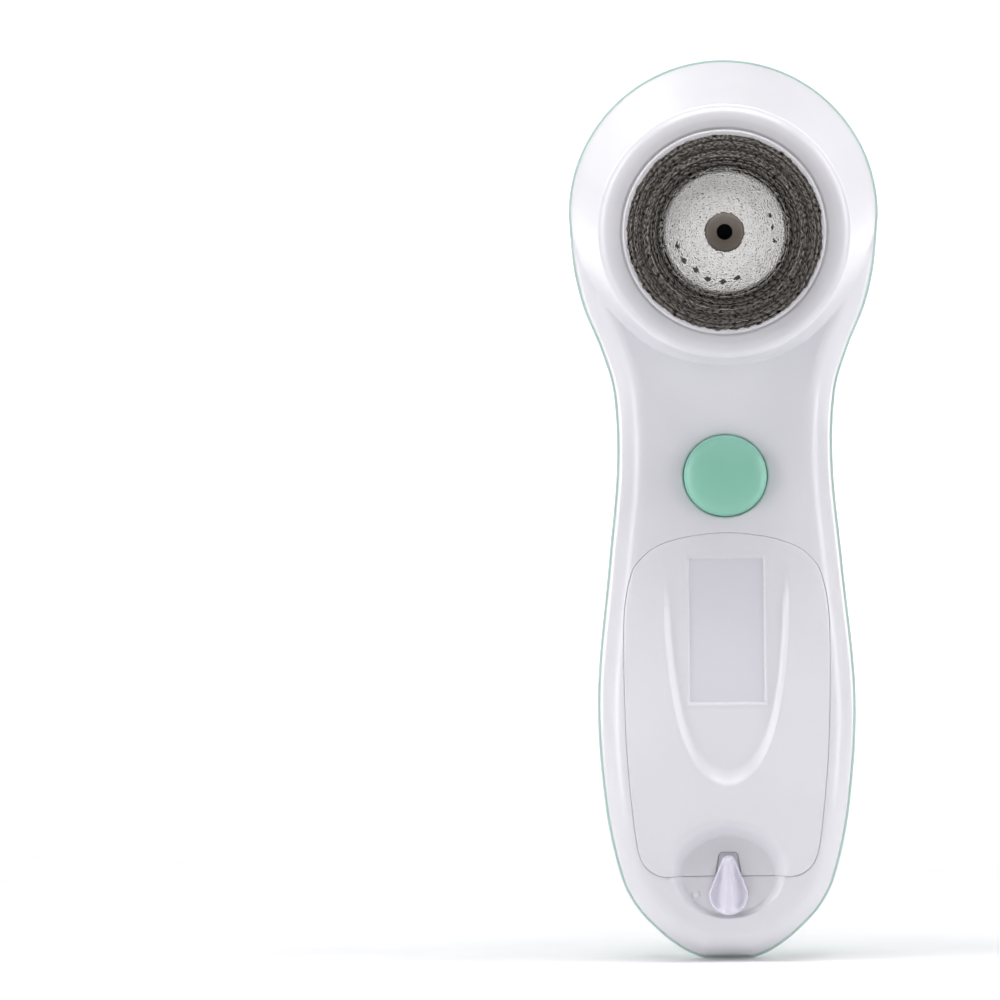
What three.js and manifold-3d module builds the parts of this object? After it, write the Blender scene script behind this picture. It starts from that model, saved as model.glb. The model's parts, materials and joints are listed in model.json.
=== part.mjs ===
// Facial cleansing brush: battery handle, geared motor and pull-off rotating brush head.
// Millimetres. +Z up the handle, +X to the right seen from the brush side, the brush faces -Y.
// The origin is the centre of the flat foot at the tail of the handle.
// "depth" is measured towards the brush from the rearmost line of the neck, so y = FOOT_DEPTH - depth.

import * as THREE from 'three';
import { mergeVertices } from 'three/addons/utils/BufferGeometryUtils.js';
import Module from 'manifold-3d';

const wasm = await Module();
wasm.setup();

// ---------------------------------------------------------------- driving dimensions

const GAP = 0.3;                    // clearance between pieces that touch
const DEG = Math.PI / 180;

// Outline of the rear cover seen from the front: half-width at each height, then a head circle.
const HEAD_RADIUS = 31.1;
const HEAD_Z = 148.5;
const TOP_Z = HEAD_Z + HEAD_RADIUS;
const OUTLINE = [
  [0, 5.0], [1, 7.6], [2.5, 10.2], [5, 13.4], [10, 18.2], [16, 21.3], [30, 24.4], [52, 25.9],
  [78, 23.6], [98, 21.8], [113, 22.4], [121.6, 24.9], [129.7, 28.2], [137.5, 30.1], [HEAD_Z, HEAD_RADIUS],
];

// Side profile: depth of the back line and of the handle's front face at each height.
const FOOT_DEPTH = 24.6;
const BACK_LINE = [
  [0, 19.2], [10, 19.0], [23, 17.8], [36, 15.5], [49, 12.5], [62, 9.1], [75.5, 5.7], [89, 2.7],
  [102, 0.4], [111, 0], [122, 0.8], [135, 3.7], [148, 7.0], [161, 8.7], [TOP_Z, 10.3],
];
const FRONT_LINE = [
  [0, 31.0], [8, 34.6], [17, 37.6], [25, 38.6], [33, 38.5], [44, 36.6], [54, 34.0], [70, 29.2],
  [85, 23.6], [95, 19.8], [103, 17.5], [111, 16.6], [119, 16.3], [128, 15.6], [138, 14.2], [HEAD_Z, 11.2],
];

// Shells
const WALL = 1.8;
const COVER_THICKNESS = 1.7;        // rear cover plate
const COVER_OVERHANG = 0.35;        // the cover stands proud of the front shell all round
const FOOT_ROLL = 3.0;              // rounding of the front edge of the foot
const EDGE_ROLL = 5.2;              // width of the rounded front edge of the handle

// Head cone that carries the brush
const AXIS_Z = 145.5;               // brush axis
const SEAT_RADIUS = 24.3;
const SEAT_DEPTH = 33.8;

// Rotating brush head
const BASE_RADIUS = 25.25;
const BASE_REAR_RADIUS = 22.45;
const BASE_BACK = 34.2;
const BASE_FRONT = 43.6;
const BRISTLE_TIP = 61.4;
const DARK_RADIUS = 19.6;
const WHITE_RADIUS = 12.5;
const WHITE_TIP = 58.6;
const CUP_RADIUS = 4.0;
const CUP_HOLE = 1.45;
const CUP_TIP = 54.0;

// Power button
const BUTTON_Z = 96.4;
const BUTTON_RADIUS = 8.3;
const BUTTON_DOME = 3.0;
const BUTTON_TILT = 15.5 * DEG;

// Battery door, seen from the front
const DOOR_TOP = 85.2;
const DOOR_BOTTOM = 17.4;
const DOOR_HALF_WIDTH = 20.4;

const LABEL_WIDTH = 15.4;           // shallow recess for a label
const LABEL_HEIGHT = 28.8;
const LABEL_Z = 66;
const LABEL_TILT = 16.8 * DEG;
const LABEL_FLOOR = 0.9;            // floor of the label recess under the door's outside

// Battery latch
const LATCH_Z = 13.6;
const DISH_Z = 17.6;
const DISH_FLOOR = 34.6;            // depth of the flat floor of the latch recess
const DISH_FLOOR_RADIUS = 9.6;
const DISH_FLARE = 0.55;            // how much the recess widens per millimetre of depth
const DISH_SQUASH = 0.84;           // the recess is wider than it is tall
const DISH_WALL = 1.2;
const NOTCH_LOW = 2.4;              // notch half-width at the door's lower edge
const NOTCH_HIGH = 1.9;             // and at its top
const NOTCH_TOP = 22.1;
const KNOB_RADIUS = 3.8;
const KNOB_NOSE_Z = 21.4;
const KNOB_NOSE_RADIUS = 1.3;

// Batteries: two AA cells side by side
const CELL_RADIUS = 7.25;
const CELL_LENGTH = 50.5;
const CELL_SPACING = 15.2;
const CELL_TILT = 13 * DEG;
const CELL_Z = 51.6;
const CELL_DEPTH = 22.5;

// Gear train: motor pinion -> idler wheel, idler pinion -> output wheel
const TOOTH_MODULE = 0.5;
const PINION_TEETH = 8;
const IDLER_WHEEL_TEETH = 32;
const IDLER_PINION_TEETH = 10;
const OUTPUT_TEETH = 36;
const MOTOR_Z = 134.3;
const MOTOR_RADIUS = 12.2;
const MOTOR_BACK = 10.1;
const MOTOR_FRONT = 22.1;
const GEARBOX_Z = 144.5;
const PLATE_BACK = 22.4;
const PLATE_FRONT = 23.5;
const STAGE_1 = [23.8, 25.6];
const STAGE_2 = [26.2, 29.0];
const LID_BACK = 29.6;
const LID_FRONT = 30.8;
const SPINDLE_RADIUS = 3.0;

// ---------------------------------------------------------------- materials

function finish(color, roughness, metalness = 0) {
  return new THREE.MeshStandardMaterial({ color, roughness, metalness });
}

const WHITE_SHELL = finish(0xeeeef2, 0.32);
const MINT = finish(0x8cc3af, 0.35);
const LAVENDER_WHITE = finish(0xe3e0ec, 0.3);
const SOFT_RUBBER = finish(0x3a3d3f, 0.8);
const CLEAR_SILICONE = finish(0xd8dcdc, 0.6);
const DARK_BRISTLE = finish(0x3d3a38, 0.7);
const WHITE_BRISTLE = finish(0xf1efeb, 0.7);
const GREY_CUP = finish(0x9a928c, 0.6);
const STEEL = finish(0xb9bcc0, 0.3, 1);
const BRASS = finish(0xc7a355, 0.35, 1);
const GEAR_PLASTIC = finish(0xf2f0e6, 0.45);
const INNER_PLASTIC = finish(0xd4d6d8, 0.5);
const BOARD_GREEN = finish(0x1f6b45, 0.5);
const BLACK_PLASTIC = finish(0x222326, 0.5);
const CELL_SLEEVE = finish(0x3f6f9e, 0.35);
const WIRE_RED = finish(0xb3262a, 0.45);
const WIRE_BLACK = finish(0x1c1c1e, 0.45);

// ---------------------------------------------------------------- geometry helpers

const Y = (depth) => FOOT_DEPTH - depth;

// Closed, outward-facing copy of a geometry with shared vertices and no empty triangles.
function closed(source) {
  const bare = source.clone();
  bare.deleteAttribute('normal');
  bare.deleteAttribute('uv');
  const merged = mergeVertices(bare, 1e-4);
  const position = merged.getAttribute('position');
  const index = merged.getIndex().array;
  const kept = [];
  let volume = 0;
  const a = new THREE.Vector3();
  const b = new THREE.Vector3();
  const c = new THREE.Vector3();
  for (let i = 0; i < index.length; i += 3) {
    const [p, q, r] = [index[i], index[i + 1], index[i + 2]];
    if (p === q || q === r || r === p) continue;
    kept.push(p, q, r);
    a.fromBufferAttribute(position, p);
    b.fromBufferAttribute(position, q);
    c.fromBufferAttribute(position, r);
    volume += a.dot(b.cross(c));
  }
  if (volume < 0) kept.reverse();
  merged.setIndex(kept);
  return merged;
}

function toSolid(geometry) {
  const clean = closed(geometry);
  return new wasm.Manifold(new wasm.Mesh({
    numProp: 3,
    vertProperties: new Float32Array(clean.getAttribute('position').array),
    triVerts: new Uint32Array(clean.getIndex().array),
  }));
}

function fromSolid(solid) {
  const mesh = solid.getMesh();
  const geometry = new THREE.BufferGeometry();
  geometry.setAttribute('position', new THREE.BufferAttribute(new Float32Array(mesh.vertProperties), 3));
  geometry.setIndex(new THREE.BufferAttribute(new Uint32Array(mesh.triVerts), 1));
  return geometry;
}

function join(first, ...others) {
  return fromSolid(others.reduce((sum, other) => sum.add(toSolid(other)), toSolid(first)));
}

function cut(first, ...others) {
  return fromSolid(others.reduce((rest, other) => rest.subtract(toSolid(other)), toSolid(first)));
}

function common(first, second) {
  return fromSolid(toSolid(first).intersect(toSolid(second)));
}

// Smooth curve through [position, value] knots (Catmull-Rom slopes).
function curveThrough(knots, at) {
  const last = knots.length - 1;
  if (at <= knots[0][0]) return knots[0][1];
  if (at >= knots[last][0]) return knots[last][1];
  let i = 0;
  while (knots[i + 1][0] < at) i += 1;
  const slope = (k) => {
    const before = knots[Math.max(k - 1, 0)];
    const after = knots[Math.min(k + 1, last)];
    return (after[1] - before[1]) / (after[0] - before[0]);
  };
  const [z0, v0] = knots[i];
  const [z1, v1] = knots[i + 1];
  const span = z1 - z0;
  const t = (at - z0) / span;
  const h00 = (1 + 2 * t) * (1 - t) ** 2;
  const h10 = t * (1 - t) ** 2;
  const h01 = t * t * (3 - 2 * t);
  const h11 = t * t * (t - 1);
  return h00 * v0 + h10 * span * slope(i) + h01 * v1 + h11 * span * slope(i + 1);
}

const backDepth = (z) => curveThrough(BACK_LINE, z);
const frontDepth = (z) => curveThrough(FRONT_LINE, z);

function halfWidth(z) {
  if (z >= HEAD_Z) return Math.sqrt(Math.max(HEAD_RADIUS ** 2 - (z - HEAD_Z) ** 2, 0));
  return curveThrough(OUTLINE, z);
}

// Body made of rings with equal point counts; the first and last rings are closed with flat fans.
function loft(rings) {
  const count = rings[0].length;
  const points = rings.flat();
  const position = points.flatMap((p) => [p[0], p[1], p[2]]);
  const index = [];
  for (let r = 0; r + 1 < rings.length; r += 1) {
    for (let k = 0; k < count; k += 1) {
      const a = r * count + k;
      const b = r * count + ((k + 1) % count);
      index.push(a, b, a + count, b, b + count, a + count);
    }
  }
  const top = (rings.length - 1) * count;
  for (let k = 1; k + 1 < count; k += 1) {
    index.push(0, k + 1, k);
    index.push(top, top + k, top + k + 1);
  }
  const geometry = new THREE.BufferGeometry();
  geometry.setAttribute('position', new THREE.Float32BufferAttribute(position, 3));
  geometry.setIndex(index);
  return closed(geometry);
}

// Solid of revolution about a line along Y. Profile points are [radius, depth].
function turned(profile, x, z, segments = 32) {
  const points = profile.map(([radius, depth]) => new THREE.Vector2(radius, Y(depth)));
  const geometry = new THREE.LatheGeometry(points, segments);
  geometry.translate(x, 0, z);
  return closed(geometry);
}

function disc(radius, back, front, x, z, segments = 32) {
  return turned([[0, back], [radius, back], [radius, front], [0, front]], x, z, segments);
}

function ring(inner, outer, back, front, x, z, segments = 32) {
  const section = [[inner, back], [outer, back], [outer, front], [inner, front], [inner, back]];
  return turned(section, x, z, segments);
}

// Prism along Y between two depths, from a closed list of [x, z] points.
function prism(points, back, front) {
  const shape = new THREE.Shape(points.map(([x, z]) => new THREE.Vector2(x, z)));
  const geometry = new THREE.ExtrudeGeometry(shape, { depth: front - back, bevelEnabled: false });
  geometry.rotateX(Math.PI / 2);
  geometry.translate(0, Y(back), 0);
  return closed(geometry);
}

function block(width, depth, height, x, y, z) {
  return closed(new THREE.BoxGeometry(width, depth, height).translate(x, y, z));
}

function arc(cx, cz, radius, from, to, steps) {
  return Array.from({ length: steps + 1 }, (_, i) => {
    const angle = (from + ((to - from) * i) / steps) * DEG;
    return [cx + radius * Math.cos(angle), cz + radius * Math.sin(angle)];
  });
}

function tube(points, radius, sides, steps) {
  const path = new THREE.CatmullRomCurve3(points.map(([x, depth, z]) => new THREE.Vector3(x, Y(depth), z)));
  const section = new THREE.Shape(arc(0, 0, radius, 0, 360 - 360 / sides, sides - 1)
    .map(([u, v]) => new THREE.Vector2(u, v)));
  return closed(new THREE.ExtrudeGeometry(section, { steps, bevelEnabled: false, extrudePath: path }));
}

// ---------------------------------------------------------------- scene graph

const device = new THREE.Group();

function add(name, geometry, material, parent = device) {
  const mesh = new THREE.Mesh(geometry, material);
  mesh.name = name;
  parent.add(mesh);
}

function tiltedGroup(depth, z, tilt) {
  const group = new THREE.Group();
  group.position.set(0, Y(depth), z);
  group.rotation.x = -tilt;
  device.add(group);
  return group;
}

// A geometry drawn in a tilted group, moved to the frame of the whole device.
function placed(geometry, group) {
  group.updateMatrix();
  return geometry.clone().applyMatrix4(group.matrix);
}

// ---------------------------------------------------------------- shell surfaces

// Heights that follow the outline: close together where it turns quickly.
const TAIL_ROWS = [0, 1, 2.5, 5, 10, 17, 27, 40, 54, 68, 82, 94, 104, 113, 121.6, 130, 139, HEAD_Z];
const HEAD_ROWS = Array.from({ length: 9 }, (_, i) => HEAD_Z + HEAD_RADIUS * Math.sin((i + 1) * 10 * DEG));

const OUTLINE_CURVE = [...TAIL_ROWS, ...HEAD_ROWS].map((z) => [halfWidth(z), z]);

function distanceToOutline(x, z) {
  let best = z;
  for (let i = 0; i + 1 < OUTLINE_CURVE.length; i += 1) {
    const [x0, z0] = OUTLINE_CURVE[i];
    const [x1, z1] = OUTLINE_CURVE[i + 1];
    const along = ((x - x0) * (x1 - x0) + (z - z0) * (z1 - z0)) / ((x1 - x0) ** 2 + (z1 - z0) ** 2);
    const t = Math.min(Math.max(along, 0), 1);
    best = Math.min(best, Math.hypot(x - x0 - t * (x1 - x0), z - z0 - t * (z1 - z0)));
  }
  return best;
}

// Half-width at one height of the outline moved inwards by a distance.
function insetHalfWidth(z, inset) {
  if (inset === 0) return halfWidth(z);
  let low = 0;
  let high = halfWidth(z);
  for (let i = 0; i < 30; i += 1) {
    const middle = (low + high) / 2;
    if (distanceToOutline(middle, z) >= inset) low = middle;
    else high = middle;
  }
  return low;
}

// Plate that follows the back line between two offsets from it, with the outline moved inwards.
function backPlate(inset, from, to) {
  const bottom = inset;
  const span = TOP_Z - inset - bottom;
  const rows = [...TAIL_ROWS, ...HEAD_ROWS].map((z) => bottom + (z / TOP_Z) * span);
  const sections = rows.map((z, i) => {
    const half = i === rows.length - 1 ? 0 : insetHalfWidth(z, inset);
    const back = backDepth(z) + from;
    const front = backDepth(z) + to;
    return [[-half, Y(back), z], [half, Y(back), z], [half, Y(front), z], [-half, Y(front), z]];
  });
  return loft(sections);
}

const frontAt = (z) => frontDepth(z) - (z < FOOT_ROLL
  ? FOOT_ROLL - Math.sqrt(FOOT_ROLL ** 2 - (FOOT_ROLL - z) ** 2) : 0);

// Handle: horizontal sections with drafted sides, a rolled front edge and a nearly flat face.
// skin is how far the surface lies under the outside.
function handleBody(skin, bottom) {
  const rows = TAIL_ROWS.map((z) => bottom + (z * (HEAD_Z - bottom)) / HEAD_Z);
  const sections = rows.map((z) => {
    const half = Math.max(insetHalfWidth(z, COVER_OVERHANG + Math.max(skin, 0)) - Math.min(skin, 0), 0.5);
    const front = frontAt(z) - skin;
    const roll = Math.min(EDGE_ROLL, half * 0.6);
    const side = [
      [half, backDepth(z) - 6],
      [half, backDepth(z) + 2],
      [half - roll * 0.1, front - roll * 1.0],
      [half - roll * 0.38, front - roll * 0.4],
      [half - roll, front - roll * 0.07],
    ];
    const right = side.map(([x, depth]) => [x, Y(depth), z]);
    const left = side.map(([x, depth]) => [-x, Y(depth), z]).reverse();
    return [...right, [0, Y(front), z], ...left];
  });
  return loft(sections);
}

// Head: a skewed cone from the round rim on the back line to the brush seat.
function headBody(skin, steps = 40) {
  const rim = HEAD_RADIUS - COVER_OVERHANG - skin;
  const seat = SEAT_RADIUS - skin;
  const seatDepth = SEAT_DEPTH - skin;
  const angles = Array.from({ length: steps }, (_, i) => (360 * i * DEG) / steps);
  const back = angles.map((a) => {
    const z = HEAD_Z + rim * Math.sin(a);
    return [rim * Math.cos(a), Y(backDepth(z) - 6), z];
  });
  const edge = angles.map((a) => {
    const z = HEAD_Z + rim * Math.sin(a);
    return [rim * Math.cos(a), Y(backDepth(z) + 2), z];
  });
  const front = angles.map((a) => [seat * Math.cos(a), Y(seatDepth), AXIS_Z + seat * Math.sin(a)]);
  return loft([back, edge, front]);
}

// Everything in front of the parting surface between the front shell and the rear cover.
function inFrontOfParting(offset) {
  const side = HEAD_RADIUS + 5;
  const rows = [-1, ...TAIL_ROWS.slice(1), ...HEAD_ROWS, TOP_Z + 2];
  return loft(rows.map((z) => {
    const back = Y(backDepth(z) + offset);
    return [[-side, back, z], [side, back, z], [side, Y(60), z], [-side, Y(60), z]];
  }));
}

function outerSkin(skin, bottom) {
  return join(handleBody(skin, bottom), headBody(skin));
}

// Door outline seen from the front, moved outwards by a distance: an arched top,
// slightly bowed sides and a straight bottom with round corners.
function doorOutline(grow) {
  const half = DOOR_HALF_WIDTH + grow;
  const right = [
    [half - 7.2, DOOR_BOTTOM - grow],
    [half - 4.4, DOOR_BOTTOM + 1.5 - grow * 0.7],
    [half - 2.6, DOOR_BOTTOM + 5.0],
    [half - 1.6, DOOR_BOTTOM + 12],
    [half - 0.5, DOOR_BOTTOM + 24],
    [half, DOOR_BOTTOM + 38],
    [half - 0.1, DOOR_BOTTOM + 52],
    [half - 1.5, DOOR_TOP - 8.2],
    [half - 3.2, DOOR_TOP - 5.3 + grow * 0.5],
    [half - 6.0, DOOR_TOP - 3.0 + grow * 0.8],
    [half - 10, DOOR_TOP - 1.4 + grow],
    [half - 15.2, DOOR_TOP - 0.4 + grow],
  ];
  const left = right.map(([x, z]) => [-x, z]).reverse();
  return [...right, ...left];
}

// ---------------------------------------------------------------- front shell

const PARTING = COVER_THICKNESS + GAP;      // offset of the front shell's rear edge from the back line
const BODY_SCREWS = [[19, 162], [-19, 162], [14.5, 109.5], [-14.5, 109.5], [12.2, 15], [-12.2, 15]];
const PLATE_SCREWS = [[0, 163.1], [-16.1, 135.2], [20.3, 140.5]];
const BOARD_SCREWS = [13.2, -13.2];
const BOARD_SCREW_Z = 4;
const BOSS_RADIUS = 2.3;
const SCREW_HOLE = 1.3;

const buttonFrame = tiltedGroup(frontDepth(BUTTON_Z), BUTTON_Z, BUTTON_TILT);

// Solid of revolution about the button axis; heights are measured outwards from the shell surface.
function turnedOnButton(profile, segments = 32) {
  const points = profile.map(([radius, height]) => new THREE.Vector2(radius, -height));
  return closed(new THREE.LatheGeometry(points, segments));
}

// Notch in the door's lower edge that lets the door pass the nose of the latch; shrink gives the
// tab of the front shell that fills it.
function noseNotch(shrink, bottom) {
  const low = NOTCH_LOW - shrink;
  const high = NOTCH_HIGH - shrink;
  return [[-low, bottom], [low, bottom], [low, DOOR_BOTTOM], [high, NOTCH_TOP - shrink],
    [-high, NOTCH_TOP - shrink], [-low, DOOR_BOTTOM]];
}

// The latch recess: a flat-floored oval dish; grow thickens it for the wall around it.
function dish(grow) {
  const floor = DISH_FLOOR - grow;
  const rim = DISH_FLOOR + 6;
  const radius = DISH_FLOOR_RADIUS + grow;
  const geometry = turned([
    [0, floor], [radius, floor], [radius + (rim - floor) * DISH_FLARE, rim], [0, rim],
  ], 0, 0, 28);
  return closed(geometry.scale(1, 1, DISH_SQUASH).translate(0, 0, DISH_Z));
}

const outerHandle = handleBody(0, 0);
const innerHandle = handleBody(WALL, 2);
const inFront = inFrontOfParting(PARTING);

// Layer of the handle's front wall between two depths under the outside.
function wallLayer(from, to) {
  return common(cut(handleBody(from, 2), handleBody(to, 2)), inFrontOfParting(12));
}

// Frame under the edge of the battery door, left out around the latch recess.
function doorRing(outside, inside, from, to) {
  const band = cut(prism(doorOutline(outside), 16, 45), prism(doorOutline(inside), 15, 46));
  return cut(common(wallLayer(from, to), band), block(26, 40, 26, 0, Y(30), 14));
}

function frontShell() {
  const outside = common(join(outerHandle, headBody(0)), inFront);
  const hollow = cut(outside, join(innerHandle, headBody(WALL)));
  const posts = [...BODY_SCREWS, ...PLATE_SCREWS].map(([x, z], i) => {
    const back = i < BODY_SCREWS.length ? backDepth(z) : PLATE_FRONT + GAP;
    return disc(BOSS_RADIUS, back, SEAT_DEPTH - 0.5, x, z, 8);
  });
  const boardPosts = BOARD_SCREWS.map((x) => placed(
    turnedOnButton([[0, -12.4], [2, -12.4], [2, -0.6], [0, -0.6]], 8).translate(x, 0, BOARD_SCREW_Z),
    buttonFrame,
  ));
  const buttonCollar = placed(
    turnedOnButton([[10.2, -5.1], [11.4, -5.1], [11.4, -0.9], [10.2, -0.9], [10.2, -5.1]], 24),
    buttonFrame,
  );
  const holeRadius = BUTTON_RADIUS + GAP;
  const buttonHole = placed(
    turnedOnButton([[0, -3], [holeRadius, -3], [holeRadius, 4], [0, 4]]),
    buttonFrame,
  );
  const tab = prism(noseNotch(GAP, DOOR_BOTTOM - 1), DISH_FLOOR - DISH_WALL, DISH_FLOOR);
  const innerWork = common(join(dish(DISH_WALL), ...posts, ...boardPosts, buttonCollar), outside);
  const opened = cut(
    join(hollow, innerWork),
    prism(doorOutline(GAP), 16, 45),
    disc(6.2, 30, 36, 0, AXIS_Z),
    buttonHole,
  );
  const framed = join(opened, doorRing(1.4, 0.5, 1.6, 3.8), doorRing(1.4, -1.3, 2.8, 3.8));
  const screwHoles = [
    ...BODY_SCREWS.map(([x, z]) => disc(SCREW_HOLE, backDepth(z), backDepth(z) + 12, x, z, 6)),
    ...PLATE_SCREWS.map(([x, z]) => disc(SCREW_HOLE, PLATE_FRONT, PLATE_FRONT + 6, x, z, 6)),
    ...BOARD_SCREWS.map((x) => placed(
      turnedOnButton([[0, -13], [0.9, -13], [0.9, -6], [0, -6]], 6).translate(x, 0, BOARD_SCREW_Z),
      buttonFrame,
    )),
  ];
  const latchHole = disc(1.8, 30, 36, 0, LATCH_Z, 16);
  const dot = disc(1.0, DISH_FLOOR - 0.4, DISH_FLOOR + 0.35, -6.5, LATCH_Z, 12);
  return join(cut(framed, dish(0), latchHole, ...screwHoles), tab, dot);
}

add('front_shell', frontShell(), WHITE_SHELL);

// ---------------------------------------------------------------- rear cover and its screws

const SKIRT = [3.8, 4.7];           // inset of the cover's inner skirt from the outline
const SKIRT_OFFSET = 3.8;

function rearShell() {
  const skirt = cut(backPlate(SKIRT[0], 1, SKIRT_OFFSET), backPlate(SKIRT[1], 0.5, 6));
  const holes = BODY_SCREWS.flatMap(([x, z]) => [
    disc(SCREW_HOLE, backDepth(z) - 3, backDepth(z) + 6, x, z, 8),
    disc(2.6, backDepth(z) - 3, backDepth(z) + 1.0, x, z, 10),
  ]);
  return cut(join(backPlate(0, 0, COVER_THICKNESS), skirt), ...holes);
}

add('rear_shell', rearShell(), MINT);
add('shell_gasket', cut(backPlate(2.95, PARTING, 3.0), backPlate(3.45, 1, 5)), SOFT_RUBBER);

function screw(x, z, back, head, length) {
  return turned([[0, back], [head, back], [head, back + 0.7], [0.95, back + 0.7], [0.95, back + length],
    [0, back + length]], x, z, 8);
}

BODY_SCREWS.forEach(([x, z], i) => {
  add(`body_screw_${i + 1}`, screw(x, z, backDepth(z) + 0.05, 2.2, 9), STEEL);
});

// ---------------------------------------------------------------- battery door, seal and latch

const TONGUE_DEPTH = 18.0;          // rear face of the two tongues that hook under the shell

// U-shaped field round the label recess, lowered under the rest of the door.
const FIELD_DEPTH = 0.5;

function fieldOutline() {
  const left = [[-11.4, 80.5], [-11.2, 66], [-9.9, 52.5], [-7.7, 44.6], [-4.7, 39.6], [0, 37.0]];
  const right = left.slice(0, -1).map(([x, z]) => [-x, z]).reverse();
  return [...left, ...right];
}

function batteryDoor() {
  const opening = prism(doorOutline(0), 20, 45);
  const slab = cut(common(outerHandle, opening), innerHandle);
  const scoop = common(common(dish(DISH_WALL), outerHandle), opening);
  const field = cut(prism(fieldOutline(), 20, 45), handleBody(FIELD_DEPTH, 0));
  const labelRecess = block(LABEL_WIDTH, 4, LABEL_HEIGHT, 0, 0, 0).rotateX(-LABEL_TILT)
    .translate(0, Y(frontDepth(LABEL_Z) + 2 - LABEL_FLOOR), LABEL_Z);
  const tongues = [-7, 7].map((x) => join(
    block(2.8, 6, 1.0, x, Y(TONGUE_DEPTH + 3), 81.7),
    block(2.8, 1, 3.8, x, Y(TONGUE_DEPTH + 0.5), 83.1),
  ));
  const notch = prism(noseNotch(0, 10), 30, 45);
  return cut(join(slab, scoop, ...tongues), dish(0), notch, field, labelRecess);
}

add('battery_door', batteryDoor(), WHITE_SHELL);
add('door_seal', doorRing(-0.3, -1.2, 2.1, 2.5), SOFT_RUBBER);

// Teardrop: round end on the pivot, narrow nose pointing up.
function teardrop(shrink) {
  const nose = KNOB_NOSE_Z - KNOB_NOSE_RADIUS;
  return [
    ...arc(0, LATCH_Z, KNOB_RADIUS - shrink, 165, 375, 10),
    ...arc(0, nose, KNOB_NOSE_RADIUS - shrink * 0.5, 15, 165, 5),
  ];
}

const KNOB_BACK = DISH_FLOOR + 0.8;

function latchKnob() {
  const base = prism(teardrop(0), KNOB_BACK, KNOB_BACK + 0.9);
  const fin = prism(
    [[-1.1, 10.6], [1.1, 10.6], [0.7, 20.6], [-0.7, 20.6]],
    KNOB_BACK + 0.5, KNOB_BACK + 2.0,
  );
  const hub = disc(3.0, DISH_FLOOR + GAP, KNOB_BACK + 0.5, 0, LATCH_Z, 20);
  const shaft = disc(1.5, 29.4, DISH_FLOOR + 1, 0, LATCH_Z, 16);
  return cut(join(base, fin, hub, shaft), disc(0.9, 29, 32, 0, LATCH_Z, 10));
}

add('latch_knob', latchKnob(), LAVENDER_WHITE);
add('latch_seal', ring(1.8, 2.9, 32.1, 33.1, 0, LATCH_Z, 20), SOFT_RUBBER);
const CAM_BACK = 30.6;
const CAM_FRONT = 31.8;
const CAM_REACH = LATCH_Z + 5.8;
const camArm = prism(
  [[-1.6, LATCH_Z], [1.6, LATCH_Z], [1.4, CAM_REACH], [-1.4, CAM_REACH]],
  CAM_BACK, CAM_FRONT,
);
const camHub = disc(3.2, CAM_BACK, CAM_FRONT, 0, LATCH_Z, 20);
add('latch_cam', cut(join(camArm, camHub), disc(1.8, 30, 33, 0, LATCH_Z, 16)), STEEL);
add('latch_screw', turned(
  [[0, 28.3], [2.2, 28.3], [2.2, 29.1], [0.6, 29.1], [0.6, 31.6], [0, 31.6]], 0, LATCH_Z, 12,
), STEEL);

// ---------------------------------------------------------------- power button, switch and circuit board

function powerButton() {
  const dome = Array.from({ length: 7 }, (_, i) => {
    const t = i / 6;
    return [BUTTON_RADIUS * Math.cos(t * 90 * DEG), 0.5 + (BUTTON_DOME - 0.5) * Math.sin(t * 90 * DEG)];
  });
  const profile = [[0, -8], [2, -8], [2, -3.4], [9.6, -3.4], [9.6, -2.7], [BUTTON_RADIUS, -2.7], ...dome];
  return turnedOnButton(profile, 30);
}

add('power_button', powerButton(), MINT, buttonFrame);
add('button_membrane', turnedOnButton([
  [2.3, -6], [10.9, -6], [10.9, -5.4], [9.2, -5.4], [7.6, -4.9], [2.3, -5.4], [2.3, -6],
], 28), CLEAR_SILICONE, buttonFrame);
add('switch_plunger', turnedOnButton(
  [[0, -10], [1.2, -10], [1.2, -8.3], [0, -8.3]], 12,
), BLACK_PLASTIC, buttonFrame);
add('switch_body', cut(
  block(6, 3, 6, 0, 10.9, 0),
  turnedOnButton([[0, -11.6], [1.5, -11.6], [1.5, -9], [0, -9]], 12),
), BLACK_PLASTIC, buttonFrame);

function circuitBoard() {
  const board = block(30.8, 1.2, 20, 0, 13.3, 2);
  const holes = BOARD_SCREWS.map((x) => turnedOnButton([[0, -15], [1.3, -15], [1.3, -12], [0, -12]], 10)
    .translate(x, 0, BOARD_SCREW_Z));
  return cut(board, ...holes);
}

add('circuit_board', circuitBoard(), BOARD_GREEN, buttonFrame);
BOARD_SCREWS.forEach((x, i) => {
  const shape = turnedOnButton(
    [[0, -14.9], [1.9, -14.9], [1.9, -14.2], [0.6, -14.2], [0.6, -8], [0, -8]], 8,
  );
  add(`board_screw_${i + 1}`, shape.translate(x, 0, BOARD_SCREW_Z), STEEL, buttonFrame);
});

// ---------------------------------------------------------------- batteries, tray and contacts

const cellFrame = tiltedGroup(CELL_DEPTH, CELL_Z, CELL_TILT);
const CELL_X = CELL_SPACING / 2;
const LEFT_TOP = 26.2;              // tip of the left cell, nub up
const RIGHT_BOTTOM = -27.6;         // tip of the right cell, nub down
const NUB_LENGTH = 1.4;
const NUB_RADIUS = 2.75;

// Solid of revolution about a line along the cells.
function turnedOnCells(profile, x, segments) {
  const points = profile.map(([radius, z]) => new THREE.Vector2(radius, z));
  return closed(new THREE.LatheGeometry(points, segments).rotateX(Math.PI / 2).translate(x, 0, 0));
}

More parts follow.
